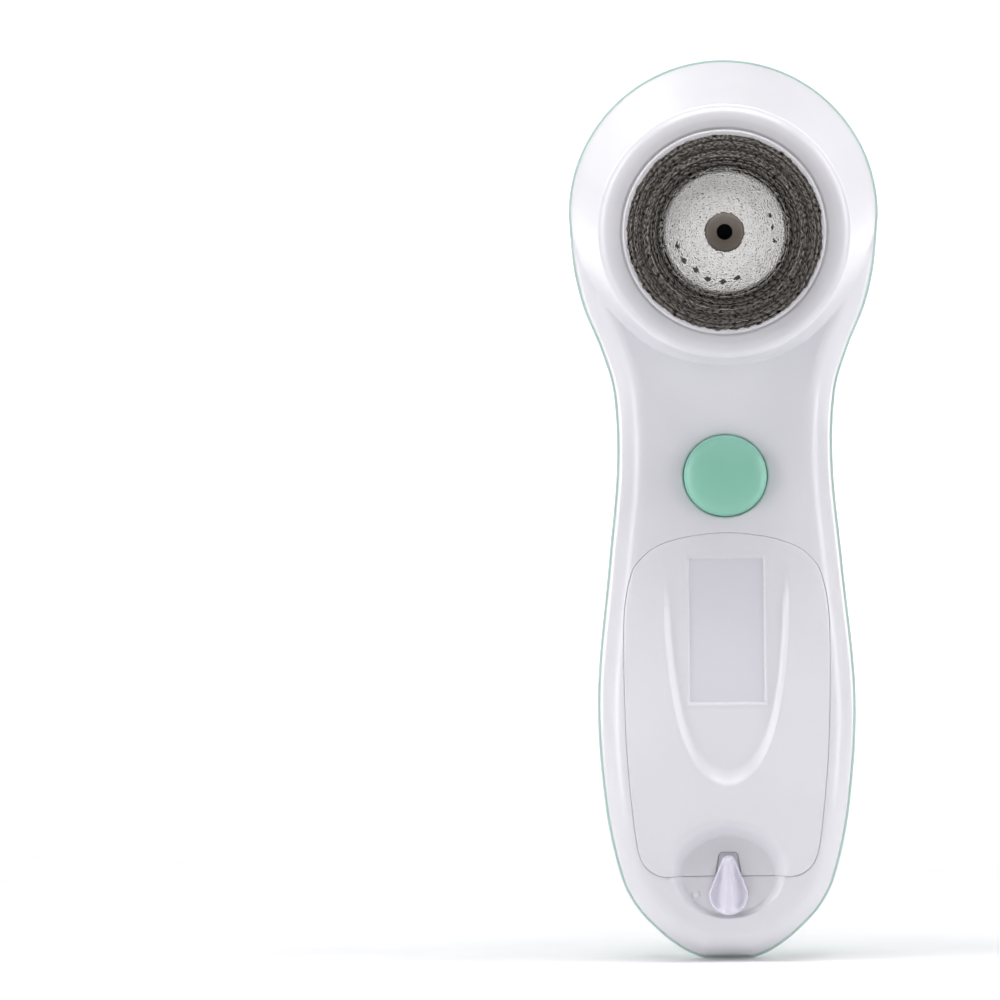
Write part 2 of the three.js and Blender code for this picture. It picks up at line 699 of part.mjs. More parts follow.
function cell(x, nubTip, direction) {
  const shoulder = nubTip - direction * NUB_LENGTH;
  const end = nubTip - direction * CELL_LENGTH;
  return turnedOnCells([
    [0, end], [CELL_RADIUS - 0.5, end], [CELL_RADIUS, end + direction * 0.5],
    [CELL_RADIUS, shoulder - direction * 0.5], [CELL_RADIUS - 0.5, shoulder],
    [NUB_RADIUS, shoulder], [NUB_RADIUS, nubTip], [0, nubTip],
  ], x, 24);
}

add('battery_left', cell(-CELL_X, LEFT_TOP, 1), CELL_SLEEVE, cellFrame);
add('battery_right', cell(CELL_X, RIGHT_BOTTOM, -1), CELL_SLEEVE, cellFrame);

const SPRING_HEIGHT = 3.0;

// Conical contact spring with flattened coils; from is the wide end, to the narrow end.
function contactSpring(x, from, direction) {
  const turns = 3;
  const points = Array.from({ length: turns * 8 + 1 }, (_, i) => {
    const t = i / (turns * 8);
    const angle = t * turns * 360 * DEG;
    const radius = 3.6 - 1.6 * t;
    const z = from + direction * (0.3 + t * (SPRING_HEIGHT - 0.6));
    return new THREE.Vector3(radius * Math.cos(angle), radius * Math.sin(angle), z);
  });
  const path = new THREE.CatmullRomCurve3(points);
  const section = new THREE.Shape(arc(0, 0, 0.25, 0, 288, 4).map(([u, v]) => new THREE.Vector2(u, v)));
  const sweep = { steps: turns * 10, bevelEnabled: false, extrudePath: path };
  return closed(new THREE.ExtrudeGeometry(section, sweep).translate(x, 0, 0));
}

const TRAY_TOP = 27.1;
const TRAY_BOTTOM = -28.5;
const CONTACT = 0.4;                // thickness of the contact plates
const BRIDGE_TOP = RIGHT_BOTTOM - GAP;
const TERMINAL_BOTTOM = LEFT_TOP + GAP;

add('contact_bridge', block(24, 7.4, CONTACT, 0, 0.6, BRIDGE_TOP - CONTACT / 2), STEEL, cellFrame);
add('contact_spring_left', contactSpring(-CELL_X, BRIDGE_TOP + 0.25, 1), STEEL, cellFrame);
const TERMINAL_Z = TERMINAL_BOTTOM + CONTACT / 2;
add('contact_terminal_left', block(9, 7, CONTACT, -CELL_X, 1, TERMINAL_Z), STEEL, cellFrame);
add('contact_terminal_right', block(9, 7, CONTACT, CELL_X, 1, TERMINAL_Z), STEEL, cellFrame);
add('contact_spring_right', contactSpring(CELL_X, TERMINAL_BOTTOM - 0.25, -1), STEEL, cellFrame);

function batteryTray() {
  const height = TRAY_TOP - TRAY_BOTTOM + 2.4;
  const middle = (TRAY_TOP + TRAY_BOTTOM) / 2;
  const inside = CELL_X + CELL_RADIUS + 0.35;
  const body = block((inside + 1) * 2, 11.6, height, 0, CELL_RADIUS + 1.3 - 5.8, middle);
  const room = block(inside * 2, 20, TRAY_TOP - TRAY_BOTTOM, 0, CELL_RADIUS + GAP - 10, middle);
  const rib = block(2.2, 3.4, 40, 0, CELL_RADIUS - 1.2, 0);
  const ribbed = join(cut(body, room), rib);
  return cut(ribbed, ...[-CELL_X, CELL_X].map((x) => turnedOnCells(
    [[0, TRAY_BOTTOM], [CELL_RADIUS + GAP, TRAY_BOTTOM], [CELL_RADIUS + GAP, TRAY_TOP], [0, TRAY_TOP]],
    x, 24,
  )));
}

add('battery_tray', batteryTray(), INNER_PLASTIC, cellFrame);

// ---------------------------------------------------------------- motor and gear train

// Idler axis: one centre distance from the motor axis and one from the brush axis.
const MOTOR_TO_IDLER = (TOOTH_MODULE * (PINION_TEETH + IDLER_WHEEL_TEETH)) / 2;
const IDLER_TO_OUTPUT = (TOOTH_MODULE * (IDLER_PINION_TEETH + OUTPUT_TEETH)) / 2;
const AXIS_GAP = AXIS_Z - MOTOR_Z;
const IDLER_RISE = (MOTOR_TO_IDLER ** 2 - IDLER_TO_OUTPUT ** 2 + AXIS_GAP ** 2) / (2 * AXIS_GAP);
const IDLER_X = Math.sqrt(MOTOR_TO_IDLER ** 2 - IDLER_RISE ** 2);
const IDLER_Z = MOTOR_Z + IDLER_RISE;

// Straight-flanked tooth with backlash, as distances from the pitch circle and half-thicknesses.
const TOOTH_ADDENDUM = 0.45;
const TOOTH_DEDENDUM = 0.6;
const TOOTH_HALF = 0.31;
const FLANK = Math.tan(20 * DEG);

function gear(teeth, x, z, phase, [back, front], bore) {
  const pitch = (TOOTH_MODULE * teeth) / 2;
  const root = pitch - TOOTH_DEDENDUM;
  const tip = pitch + TOOTH_ADDENDUM;
  const rootAngle = Math.min((TOOTH_HALF + TOOTH_DEDENDUM * FLANK * 0.8) / pitch, (Math.PI / teeth) * 0.8);
  const tipAngle = (TOOTH_HALF - TOOTH_ADDENDUM * FLANK * 1.2) / pitch;
  const points = Array.from({ length: teeth }, (_, i) => {
    const centre = phase + (i * 2 * Math.PI) / teeth;
    return [[root, -rootAngle], [tip, -tipAngle], [tip, tipAngle], [root, rootAngle]]
      .map(([radius, a]) => [x + radius * Math.cos(centre + a), z + radius * Math.sin(centre + a)]);
  }).flat();
  const blank = prism(points, back, front);
  return bore ? cut(blank, disc(bore, back - 1, front + 1, x, z, 16)) : blank;
}

const motorToIdler = Math.atan2(IDLER_RISE, IDLER_X);
const outputToIdler = Math.atan2(IDLER_Z - AXIS_Z, IDLER_X);

const outputGear = gear(OUTPUT_TEETH, 0, AXIS_Z, outputToIdler, STAGE_2, SPINDLE_RADIUS + GAP);
add('output_gear', outputGear, GEAR_PLASTIC);
add('idler_gear', cut(
  join(
    gear(IDLER_WHEEL_TEETH, IDLER_X, IDLER_Z, motorToIdler + Math.PI, STAGE_1),
    gear(IDLER_PINION_TEETH, IDLER_X, IDLER_Z, outputToIdler + Math.PI + Math.PI / IDLER_PINION_TEETH,
      [STAGE_1[1] - 0.2, STAGE_2[1]]),
  ),
  disc(1.2, 20, 33, IDLER_X, IDLER_Z, 16),
), GEAR_PLASTIC);
const pinionPhase = motorToIdler + Math.PI / PINION_TEETH;
add('motor_pinion', gear(PINION_TEETH, 0, MOTOR_Z, pinionPhase, STAGE_1, 1.0), BRASS);
add('idler_axle', disc(0.9, 22.7, 30.5, IDLER_X, IDLER_Z, 16), STEEL);

add('motor_can', turned([
  [0, MOTOR_BACK], [MOTOR_RADIUS - 0.8, MOTOR_BACK], [MOTOR_RADIUS, MOTOR_BACK + 0.8],
  [MOTOR_RADIUS, MOTOR_FRONT - 1.2], [MOTOR_RADIUS - 1.2, MOTOR_FRONT], [1.1, MOTOR_FRONT],
  [1.1, MOTOR_FRONT - 6], [0, MOTOR_FRONT - 6],
], 0, MOTOR_Z, 28), STEEL);
add('motor_end_cap', disc(9.2, 8.6, MOTOR_BACK - GAP, 0, MOTOR_Z, 28), BLACK_PLASTIC);
add('motor_shaft', disc(0.7, MOTOR_FRONT - 5.6, STAGE_1[1], 0, MOTOR_Z, 12), STEEL);

const POSTS = [[-9.5, 137.5], [11, 151], [-11, 151]];

function gearPlate() {
  const ears = PLATE_SCREWS.map(([x, z]) => disc(3.2, PLATE_BACK, PLATE_FRONT, x, z, 12));
  const posts = POSTS.map(([x, z]) => disc(1.8, PLATE_BACK + 0.2, LID_BACK - GAP, x, z, 10));
  const plate = join(disc(20.5, PLATE_BACK, PLATE_FRONT, 0, AXIS_Z, 32), ...ears, ...posts);
  return cut(
    plate,
    ...PLATE_SCREWS.map(([x, z]) => disc(SCREW_HOLE, 20, 25, x, z, 10)),
    ...POSTS.map(([x, z]) => disc(0.9, 25, 31, x, z, 8)),
    disc(1.1, 20, 25, IDLER_X, IDLER_Z, 12),
    disc(2.1, 20, 25, 0, AXIS_Z, 16),
    disc(2.9, 20, 25, 0, MOTOR_Z, 16),
  );
}

add('gear_plate', gearPlate(), INNER_PLASTIC);
add('gear_lid', cut(
  disc(15.4, LID_BACK, LID_FRONT, 0, GEARBOX_Z, 32),
  ...POSTS.map(([x, z]) => disc(1.0, 28, 32, x, z, 10)),
  disc(1.1, 28, 32, IDLER_X, IDLER_Z, 12),
  disc(4.4, 28, 32, 0, AXIS_Z, 24),
), INNER_PLASTIC);

function forwardScrew(x, z, head, front, length) {
  return turned([[0, front - length], [0.6, front - length], [0.6, front - 0.7], [head, front - 0.7],
    [head, front], [0, front]], x, z, 8);
}

POSTS.forEach(([x, z], i) => {
  add(`lid_screw_${i + 1}`, forwardScrew(x, z, 1.7, LID_FRONT + 1.0, 5.6), STEEL);
});
PLATE_SCREWS.forEach(([x, z], i) => {
  add(`plate_screw_${i + 1}`, screw(x, z, PLATE_BACK - 1.0, 2.2, 6), STEEL);
});

add('spindle', join(
  turned([[0, 22.7], [1.8, 22.7], [1.8, STAGE_1[1] + 0.3], [SPINDLE_RADIUS, STAGE_1[1] + 0.3],
    [SPINDLE_RADIUS, 34.2], [0, 34.2]], 0, AXIS_Z, 28),
  disc(2.8, 34.0, 41.4, 0, AXIS_Z, 6),
), STEEL);
const spindleBush = ring(SPINDLE_RADIUS + GAP, 4.1, STAGE_2[1] + 0.3, LID_FRONT + 0.9, 0, AXIS_Z, 28);
add('spindle_bush', spindleBush, BRASS);
add('spindle_seal', turned([
  [SPINDLE_RADIUS + GAP, 32.1], [5.9, 32.1], [5.9, 33.6], [4.6, 33.6], [4.2, 33.0],
  [SPINDLE_RADIUS + GAP, 33.4], [SPINDLE_RADIUS + GAP, 32.1],
], 0, AXIS_Z, 28), SOFT_RUBBER);

// ---------------------------------------------------------------- brush head

add('brush_base', turned([
  [BASE_REAR_RADIUS - 1.6, BASE_BACK], [BASE_REAR_RADIUS, BASE_BACK], [23.6, 36.4], [24.8, 38.6],
  [BASE_RADIUS, 40.6], [BASE_RADIUS - 0.3, 42.2], [BASE_RADIUS - 1.3, 43.3],
  [BASE_RADIUS - 2.6, BASE_FRONT], [7.4, BASE_FRONT], [7.4, 41.2], [22.0, 41.2],
  [BASE_REAR_RADIUS, 39.4], [BASE_REAR_RADIUS - 1.6, BASE_BACK],
], 0, AXIS_Z, 36), WHITE_SHELL);
add('brush_hub', cut(
  turned([
    [0, 34.6], [5.0, 34.6], [5.0, 40.6], [7.1, 40.6], [7.1, BASE_FRONT], [0, BASE_FRONT],
  ], 0, AXIS_Z, 28),
  disc(3.2, 34, 41.8, 0, AXIS_Z, 6),
), INNER_PLASTIC);

const BRISTLE_BACK = BASE_FRONT + GAP;

add('bristles_outer', turned([
  [WHITE_RADIUS + 0.4, BRISTLE_BACK], [DARK_RADIUS - 0.5, BRISTLE_BACK], [DARK_RADIUS, 50],
  [DARK_RADIUS + 0.1, BRISTLE_TIP - 1.0], [DARK_RADIUS - 0.6, BRISTLE_TIP],
  [WHITE_RADIUS + 1.4, BRISTLE_TIP],
  [WHITE_RADIUS + 0.4, BRISTLE_TIP - 1], [WHITE_RADIUS + 0.4, BRISTLE_BACK],
], 0, AXIS_Z, 32), DARK_BRISTLE);
add('bristles_inner', turned([
  [CUP_RADIUS + 0.5, BRISTLE_BACK], [WHITE_RADIUS, BRISTLE_BACK], [WHITE_RADIUS, WHITE_TIP - 1],
  [WHITE_RADIUS - 0.8, WHITE_TIP], [CUP_RADIUS + 1.0, WHITE_TIP], [CUP_RADIUS + 0.5, WHITE_TIP - 1],
  [CUP_RADIUS + 0.5, BRISTLE_BACK],
], 0, AXIS_Z, 24), WHITE_BRISTLE);
add('brush_centre_cup', turned([
  [0, BRISTLE_BACK], [CUP_RADIUS, BRISTLE_BACK], [CUP_RADIUS, CUP_TIP], [CUP_RADIUS - 0.6, CUP_TIP],
  [CUP_RADIUS - 1.2, CUP_TIP - 1.8], [CUP_HOLE, CUP_TIP - 2.6], [CUP_HOLE, CUP_TIP - 7], [0, CUP_TIP - 7],
], 0, AXIS_Z, 20), GREY_CUP);

// ---------------------------------------------------------------- wiring

const WIRE_RADIUS = 0.55;

[[-1, 'black', WIRE_BLACK], [1, 'red', WIRE_RED]].forEach(([side, colour, material]) => {
  add(`motor_wire_${colour}`, tube([
    [side * 4, 10.4, 120.8], [side * 4.6, 8.6, 115.5], [side * 5.4, 6.8, 110.5], [side * 5.6, 5.6, 106.2],
  ], WIRE_RADIUS, 6, 10), material);
  add(`battery_wire_${colour}`, tube([
    [side * 9, 13.0, 82.2], [side * 10.0, 12.2, 84.0], [side * 10.4, 11.4, 86.0],
  ], WIRE_RADIUS, 6, 6), material);
});

export default device;
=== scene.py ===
"""Facial cleansing brush: high-resolution shells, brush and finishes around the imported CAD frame."""

import json
import math

import bmesh
import bpy
import numpy as np
from mathutils import Matrix, Quaternion, Vector
from mathutils.geometry import delaunay_2d_cdt


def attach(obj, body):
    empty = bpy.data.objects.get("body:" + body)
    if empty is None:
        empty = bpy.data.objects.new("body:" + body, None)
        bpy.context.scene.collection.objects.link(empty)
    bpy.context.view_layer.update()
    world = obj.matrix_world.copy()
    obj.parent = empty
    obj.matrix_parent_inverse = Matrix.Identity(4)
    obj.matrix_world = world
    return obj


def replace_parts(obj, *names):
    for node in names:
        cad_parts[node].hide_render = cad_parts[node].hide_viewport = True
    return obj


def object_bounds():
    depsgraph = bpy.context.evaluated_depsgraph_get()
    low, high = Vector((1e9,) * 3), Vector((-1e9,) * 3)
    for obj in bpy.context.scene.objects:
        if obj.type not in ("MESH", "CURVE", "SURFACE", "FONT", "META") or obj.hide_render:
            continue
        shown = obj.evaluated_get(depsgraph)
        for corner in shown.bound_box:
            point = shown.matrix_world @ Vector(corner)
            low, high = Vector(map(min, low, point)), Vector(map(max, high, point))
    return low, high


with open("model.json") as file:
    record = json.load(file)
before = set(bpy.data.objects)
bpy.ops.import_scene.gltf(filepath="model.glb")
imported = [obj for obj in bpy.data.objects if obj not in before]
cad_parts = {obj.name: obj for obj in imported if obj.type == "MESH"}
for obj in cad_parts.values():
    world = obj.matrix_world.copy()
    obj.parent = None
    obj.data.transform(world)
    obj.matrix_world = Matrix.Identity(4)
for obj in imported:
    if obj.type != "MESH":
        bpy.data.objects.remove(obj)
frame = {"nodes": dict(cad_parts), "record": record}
cad_low, cad_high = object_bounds()

# ---- camera

MM = 0.001
DEG = math.pi / 180
CAMERA_DISTANCE = 2.2  # metres from the object's middle
CAMERA_YAW = -0.3 * DEG  # a touch to the object's left
CAMERA_PITCH = 2.0 * DEG
CAMERA_ROLL = -0.4 * DEG  # the object leans a little to the left in the picture
OBJECT_FILL = 0.903  # the object's height as a part of the picture's height
OBJECT_OFFSET = (0.2259, 0.011)  # the object's middle from the picture's middle, as parts of the picture


def make_camera():
    middle = Vector((0, (cad_low.y + cad_high.y) / 2, (cad_low.z + cad_high.z) / 2))
    away = Vector((
        math.sin(CAMERA_YAW) * math.cos(CAMERA_PITCH),
        -math.cos(CAMERA_YAW) * math.cos(CAMERA_PITCH),
        math.sin(CAMERA_PITCH),
    ))
    data = bpy.data.cameras.new("camera")
    camera = bpy.data.objects.new("camera", data)
    camera.location = middle + away * CAMERA_DISTANCE
    camera.rotation_mode = "QUATERNION"
    camera.rotation_quaternion = (-away).to_track_quat("-Z", "Y") @ Quaternion((0, 0, 1), CAMERA_ROLL)
    height = cad_high.z - cad_low.z
    data.sensor_width = 36
    data.lens = data.sensor_width * CAMERA_DISTANCE * OBJECT_FILL / height
    data.shift_x = -OBJECT_OFFSET[0]
    data.shift_y = OBJECT_OFFSET[1]
    data.clip_start = 0.05
    data.clip_end = 20
    bpy.context.scene.collection.objects.link(camera)
    bpy.context.scene.camera = camera


make_camera()

# ---- shape of the handle, in millimetres

HEAD_RADIUS = 31.1
HEAD_Z = 148.5
TOP_Z = HEAD_Z + HEAD_RADIUS
# (height, half-width) of the rear cover up to the head, which is a circle from there on
OUTLINE = [
    (0, 5.0), (1, 7.6), (2.5, 10.2), (5, 13.4), (10, 18.2), (16, 21.3), (30, 24.4), (52, 25.9),
    (78, 23.6), (98, 21.8), (113, 22.4), (121.6, 24.9), (129.7, 28.2), (137.5, 30.1), (HEAD_Z, HEAD_RADIUS),
]
FOOT_DEPTH = 24.6  # depths are measured forwards from this distance behind the axis
# (height, depth) of the rear cover's back and of the front shell's face on the middle line
BACK_LINE = [
    (0, 19.2), (10, 19.0), (23, 17.8), (36, 15.5), (49, 12.5), (62, 9.1), (75.5, 5.7), (89, 2.7),
    (102, 0.4), (111, 0), (122, 0.8), (135, 3.7), (148, 7.0), (161, 8.7), (TOP_Z, 10.3),
]
FRONT_LINE = [
    (0, 31.0), (8, 34.6), (17, 37.6), (25, 38.6), (33, 38.5), (44, 36.6), (54, 34.0), (70, 29.2),
    (85, 23.6), (95, 19.8), (103, 17.5), (111, 16.6), (119, 16.3), (128, 15.6), (138, 14.2), (HEAD_Z, 11.2),
]
OVERHANG = 0.5  # the rear cover stands proud of the front shell
PARTING = 2.0  # front shell's rear edge, measured from the back line
WALL = 1.8
LIP = 0.2  # rounding of the door's edges
EDGE_WALL = 0.55  # draft of the side walls
EDGE_ROLL = 5.2  # width of the rounded band along the handle's front edges
ROLL_STEEP = (0.78, 2.6)  # share of the band's drop that is steep, and how steep
FACE_CROWN = 0.36  # fall of the handle's face from its middle line to its edges
NECK_HOLLOW = 0.9  # depth of the hollow across the neck
AXIS_Z = 145.5
SEAT_RADIUS = 24.3
SEAT_DEPTH = 33.8
SEAT_EDGE = 1.4  # rounding where the head's side meets the brush seat
NECK_FILLET = 9.0
SEAM = 0.05  # visible gap round the door
HOLE_GAP = 0.12  # gap round the button


def smooth_curve(knots, at):
    """Catmull-Rom curve through (position, value) knots, at an array of positions."""
    position = np.array([k[0] for k in knots], float)
    value = np.array([k[1] for k in knots], float)
    count = len(knots)
    before = np.maximum(np.arange(count) - 1, 0)
    after = np.minimum(np.arange(count) + 1, count - 1)
    slope = (value[after] - value[before]) / (position[after] - position[before])
    at = np.clip(at, position[0], position[-1])
    i = np.clip(np.searchsorted(position, at, side="right") - 1, 0, count - 2)
    span = position[i + 1] - position[i]
    t = (at - position[i]) / span
    return (
        (1 + 2 * t) * (1 - t) ** 2 * value[i]
        + t * (1 - t) ** 2 * span * slope[i]
        + t * t * (3 - 2 * t) * value[i + 1]
        + t * t * (t - 1) * span * slope[i + 1]
    )


def back_depth(z):
    return smooth_curve(BACK_LINE, z)


def front_depth(z):
    return smooth_curve(FRONT_LINE, z)


def half_width(z):
    z = np.asarray(z, float)
    circle = np.sqrt(np.maximum(HEAD_RADIUS ** 2 - np.maximum(z - HEAD_Z, 0) ** 2, 0))
    return np.where(z >= HEAD_Z, circle, smooth_curve(OUTLINE, z))


def outline_loop(inset, spacing):
    """Closed loop of (x, z) points along the outline, moved inwards, from the foot up the right side."""
    head = HEAD_Z + HEAD_RADIUS * np.sin(np.linspace(0, 90, 140)[1:] * DEG)
    heights = np.concatenate([np.linspace(0, HEAD_Z, 500), head])
    right = np.stack([half_width(heights), heights], 1)
    right[-1, 0] = 0
    loop = np.concatenate([right, right[-2::-1] * [-1, 1]])
    return offset_loop(resample(loop, spacing), inset)


def resample(loop, spacing):
    """The same closed loop with evenly spaced points."""
    closed = np.concatenate([loop, loop[:1]])
    steps = np.hypot(*(closed[1:] - closed[:-1]).T)
    along = np.concatenate([[0], np.cumsum(steps)])
    count = max(int(round(along[-1] / spacing)), 12)
    at = np.linspace(0, along[-1], count, endpoint=False)
    return np.stack([np.interp(at, along, closed[:, 0]), np.interp(at, along, closed[:, 1])], 1)


def offset_loop(loop, inset):
    """Each point moved along the inward normal of a counter-clockwise loop."""
    tangent = np.roll(loop, -1, 0) - np.roll(loop, 1, 0)
    tangent /= np.maximum(np.hypot(*tangent.T), 1e-9)[:, None]
    return loop + np.stack([-tangent[:, 1], tangent[:, 0]], 1) * inset


def loop_distance(points, loop):
    """Distance of each (x, z) point from a closed loop."""
    best = np.full(len(points), 1e9)
    ends = np.roll(loop, -1, 0)
    for first, second in zip(loop, ends):
        line = second - first
        length = max(line @ line, 1e-12)
        t = np.clip(((points - first) @ line) / length, 0, 1)
        gap = points - first - t[:, None] * line
        np.minimum(best, gap[:, 0] ** 2 + gap[:, 1] ** 2, out=best)
    return np.sqrt(best)


def inside_loop(points, loop):
    """True for the (x, z) points inside a closed loop."""
    result = np.zeros(len(points), bool)
    ends = np.roll(loop, -1, 0)
    for (x0, z0), (x1, z1) in zip(loop, ends):
        if z0 == z1:
            continue
        crosses = (z0 > points[:, 1]) != (z1 > points[:, 1])
        at = x0 + (points[:, 1] - z0) * (x1 - x0) / (z1 - z0)
        result ^= crosses & (points[:, 0] < at)
    return result


def rise(at, low, high):
    """Smooth step from 0 at low to 1 at high."""
    t = np.clip((at - low) / (high - low), 0, 1)
    return t * t * (3 - 2 * t)


def blend_max(a, b, width):
    """The larger of two heights, with a fillet where they cross."""
    near = np.maximum(width - np.abs(a - b), 0) / np.maximum(width, 1e-6)
    return np.maximum(a, b) + near ** 2 * width / 4


def blend_min(a, b, width):
    """The smaller of two heights, with a rounded edge where they cross."""
    return -blend_max(-a, -b, width)


def quarter_round(distance, radius):
    """How far a rounded edge falls below the surface at a distance from it."""
    t = np.clip(radius - distance, 0, radius)
    return radius - np.sqrt(np.maximum(radius ** 2 - t ** 2, 0))


def smooth_loop(points, spacing):
    """Closed Catmull-Rom loop through (x, z) points, with evenly spaced results."""
    p = np.array(points, float)
    before, after, far = np.roll(p, 1, 0), np.roll(p, -1, 0), np.roll(p, -2, 0)
    t = np.linspace(0, 1, 12, endpoint=False)[None, :, None]
    a, b, c, d = (q[:, None, :] for q in (before, p, after, far))
    square = 2 * a - 5 * b + 4 * c - d
    cube = 3 * b - a - 3 * c + d
    curve = 0.5 * (2 * b + (c - a) * t + square * t ** 2 + cube * t ** 3)
    return resample(curve.reshape(-1, 2), spacing)


def circle_loop(cx, cz, radius, count, squash=1.0):
    angle = np.arange(count) * 2 * math.pi / count
    return np.stack([cx + radius * np.cos(angle), cz + radius * squash * np.sin(angle)], 1)


OUTER = outline_loop(0, 0.5)
SHELL_LOOP = outline_loop(OVERHANG, 0.8)


def cone_depth(x, z):
    """Skewed cone from the head's round rim to the brush seat, flat inside the seat."""
    rim = HEAD_RADIUS - OVERHANG
    lean = HEAD_Z - AXIS_Z
    narrow = rim - SEAT_RADIUS
    w = z - HEAD_Z
    a = narrow ** 2 - lean ** 2
    b = rim * narrow + lean * w
    c = rim ** 2 - x ** 2 - w ** 2
    tau = (b - np.sqrt(np.maximum(b ** 2 - a * c, 0))) / a
    angle = np.arctan2(w + lean * tau, x)
    edge = back_depth(HEAD_Z + rim * np.sin(angle)) + PARTING
    return blend_min(edge + tau * (SEAT_DEPTH - edge), np.full_like(x, SEAT_DEPTH), SEAT_EDGE)


def handle_depth(x, z, t):
    """Handle without the head: drafted side walls, a rounded band along the edges, a nearly flat face."""
    back = back_depth(z) + PARTING
    front = front_depth(z)
    drop = np.minimum(EDGE_ROLL, np.maximum(front - back, 0.1))
    u = np.clip((t - EDGE_WALL) / (EDGE_ROLL - EDGE_WALL), 0, 1)
    steep, power = ROLL_STEEP
    band = drop * (steep * (1 - u) ** power + (1 - steep) * (1 - u))
    half = np.maximum(half_width(z) - EDGE_ROLL, 4)
    hollow = NECK_HOLLOW * rise(z, 84, 100) * rise(-z, -138, -118)
    face = (FACE_CROWN - hollow) * np.minimum(np.abs(x) / half, 1) ** 2 + hollow * 0.75
    wall = back + (front - drop - back) * np.clip(t / EDGE_WALL, 0, 1)
    return np.where(t < EDGE_WALL, wall, front - band - face * rise(t, 2.5, 7.5))


DISH_Z = 17.6
DISH_FLOOR = 34.6
DISH_RADIUS = 9.6
DISH_FLARE = 0.55
DISH_SQUASH = 0.84
DISH_FALL = 0.8  # the floor falls away towards the recess's lower edge
DISH_EDGE = (0.45, 2.9)  # rounding of its lower edge, and how much more the upper one has
LATCH_Z = 13.6
LATCH_DOT = (-6.5, LATCH_Z, 1.0)  # x, z and radius of the dot that marks the open position


def dish_depth(x, z):
    """Flat-floored oval recess round the latch."""
    r = np.hypot(x, (z - DISH_Z) / DISH_SQUASH)
    floor = DISH_FLOOR - DISH_FALL * rise(-z, -14, -8.5)
    wall = floor + (r - DISH_RADIUS) / DISH_FLARE
    return blend_max(floor, wall, 0.9)


def shell_depth(x, z):
    """Depth of the white outside surface."""
    t = np.maximum(loop_distance(np.stack([x, z], 1), OUTER) - OVERHANG, 0)
    fillet = np.minimum(NECK_FILLET, t * 1.1) * rise(-z, -156, -146)
    surface = blend_max(handle_depth(x, z, t), cone_depth(x, z), fillet)
    edge = DISH_EDGE[0] + DISH_EDGE[1] * rise(z, 16.5, 22)
    return blend_min(surface, dish_depth(x, z), edge)


# ---- door outline, label recess, U-shaped step

DOOR_TOP = 85.2
DOOR_BOTTOM = 17.4
NOTCH = (2.4, 1.9, 22.1)  # half-width at the door's lower edge, half-width at the top, top
LABEL = (7.7, 51.6, 80.4)  # half-width, bottom, top
LABEL_STEP = 0.35  # depth of the label recess
STEP_HEIGHT = 0.95  # how far the field inside the U lies below the rest of the door
STEP_POINTS = 160
# Left halves of the step's upper and lower edges, from the top down to the middle line
STEP_OUTER = [(-12.6, 86), (-12.5, 66), (-10.9, 52), (-8.7, 43.5), (-5.2, 37.8), (0, 35.2)]
STEP_INNER = [(-11.0, 86), (-10.7, 66), (-9.2, 53), (-7.0, 45.6), (-4.0, 40.6), (0, 38.8)]


def door_loop(grow, spacing):
    """Arched door outline, moved outwards, with the notch round the latch's nose."""
    right = [
        (9.0, DOOR_BOTTOM), (11.6, DOOR_BOTTOM), (13.3, DOOR_BOTTOM + 0.1), (15.0, DOOR_BOTTOM + 0.8),
        (16.5, DOOR_BOTTOM + 2.1), (17.5, DOOR_BOTTOM + 4.0), (18.1, DOOR_BOTTOM + 6.6), (18.8, 29.4),
        (19.9, 41.4), (20.4, 55.4), (20.3, 69.4), (18.9, 77.0), (17.2, 79.9), (14.4, 82.2), (10.4, 83.8),
        (5.2, 84.8),
    ]
    left = [(-x, z) for x, z in reversed(right)]
    loop = offset_loop(smooth_loop(right + [(0, DOOR_TOP)] + left, spacing), -grow)
    low, high, top = NOTCH
    near_notch = (np.abs(loop[:, 0]) < low + 0.2) & (loop[:, 1] < DOOR_BOTTOM + 1)
    bottom_right = (loop[:, 0] > 0) & (loop[:, 1] < DOOR_BOTTOM + 1) & ~near_notch
    start = int(np.argmin(np.where(bottom_right, loop[:, 0], 1e9)))
    loop = np.roll(loop, -start, 0)
    near_notch = np.roll(near_notch, -start)
    low, high, top = low - grow, high - grow, top - grow
    soft = 0.5
    notch = [
        (-low, DOOR_BOTTOM - grow), (-low, DOOR_BOTTOM + 0.8), (-high, top - soft), (-high + soft, top),
        (high - soft, top), (high, top - soft), (low, DOOR_BOTTOM + 0.8), (low, DOOR_BOTTOM - grow),
    ]
    return np.concatenate([loop[~near_notch], fill_between(notch, spacing)])


def fill_between(points, spacing):
    """Open run of points with the gaps between them divided evenly."""
    run = [np.array(points[0], float)]
    for first, second in zip(points, points[1:]):
        first, second = np.array(first, float), np.array(second, float)
        steps = max(int(round(np.hypot(*(second - first)) / spacing)), 1)
        run += [first + (second - first) * (i + 1) / steps for i in range(steps)]
    return np.array(run)


def mirrored_loop(points):
    """Closed loop from a left half that ends on the middle line: smooth below, square at the top."""
    half = np.array(points, float)
    full = np.concatenate([half, half[-2::-1] * [-1, 1]])
    count = len(full)
    knots = np.arange(count)
    at = np.linspace(0, count - 1, STEP_POINTS)
    run = np.stack([smooth_curve(list(zip(knots, full[:, k])), at) for k in (0, 1)], 1)
    return np.concatenate([run, fill_between([run[-1], run[0]], 1.0)[1:-1]])


STEP_OUTER_LOOP = mirrored_loop(STEP_OUTER)
STEP_INNER_LOOP = mirrored_loop(STEP_INNER)


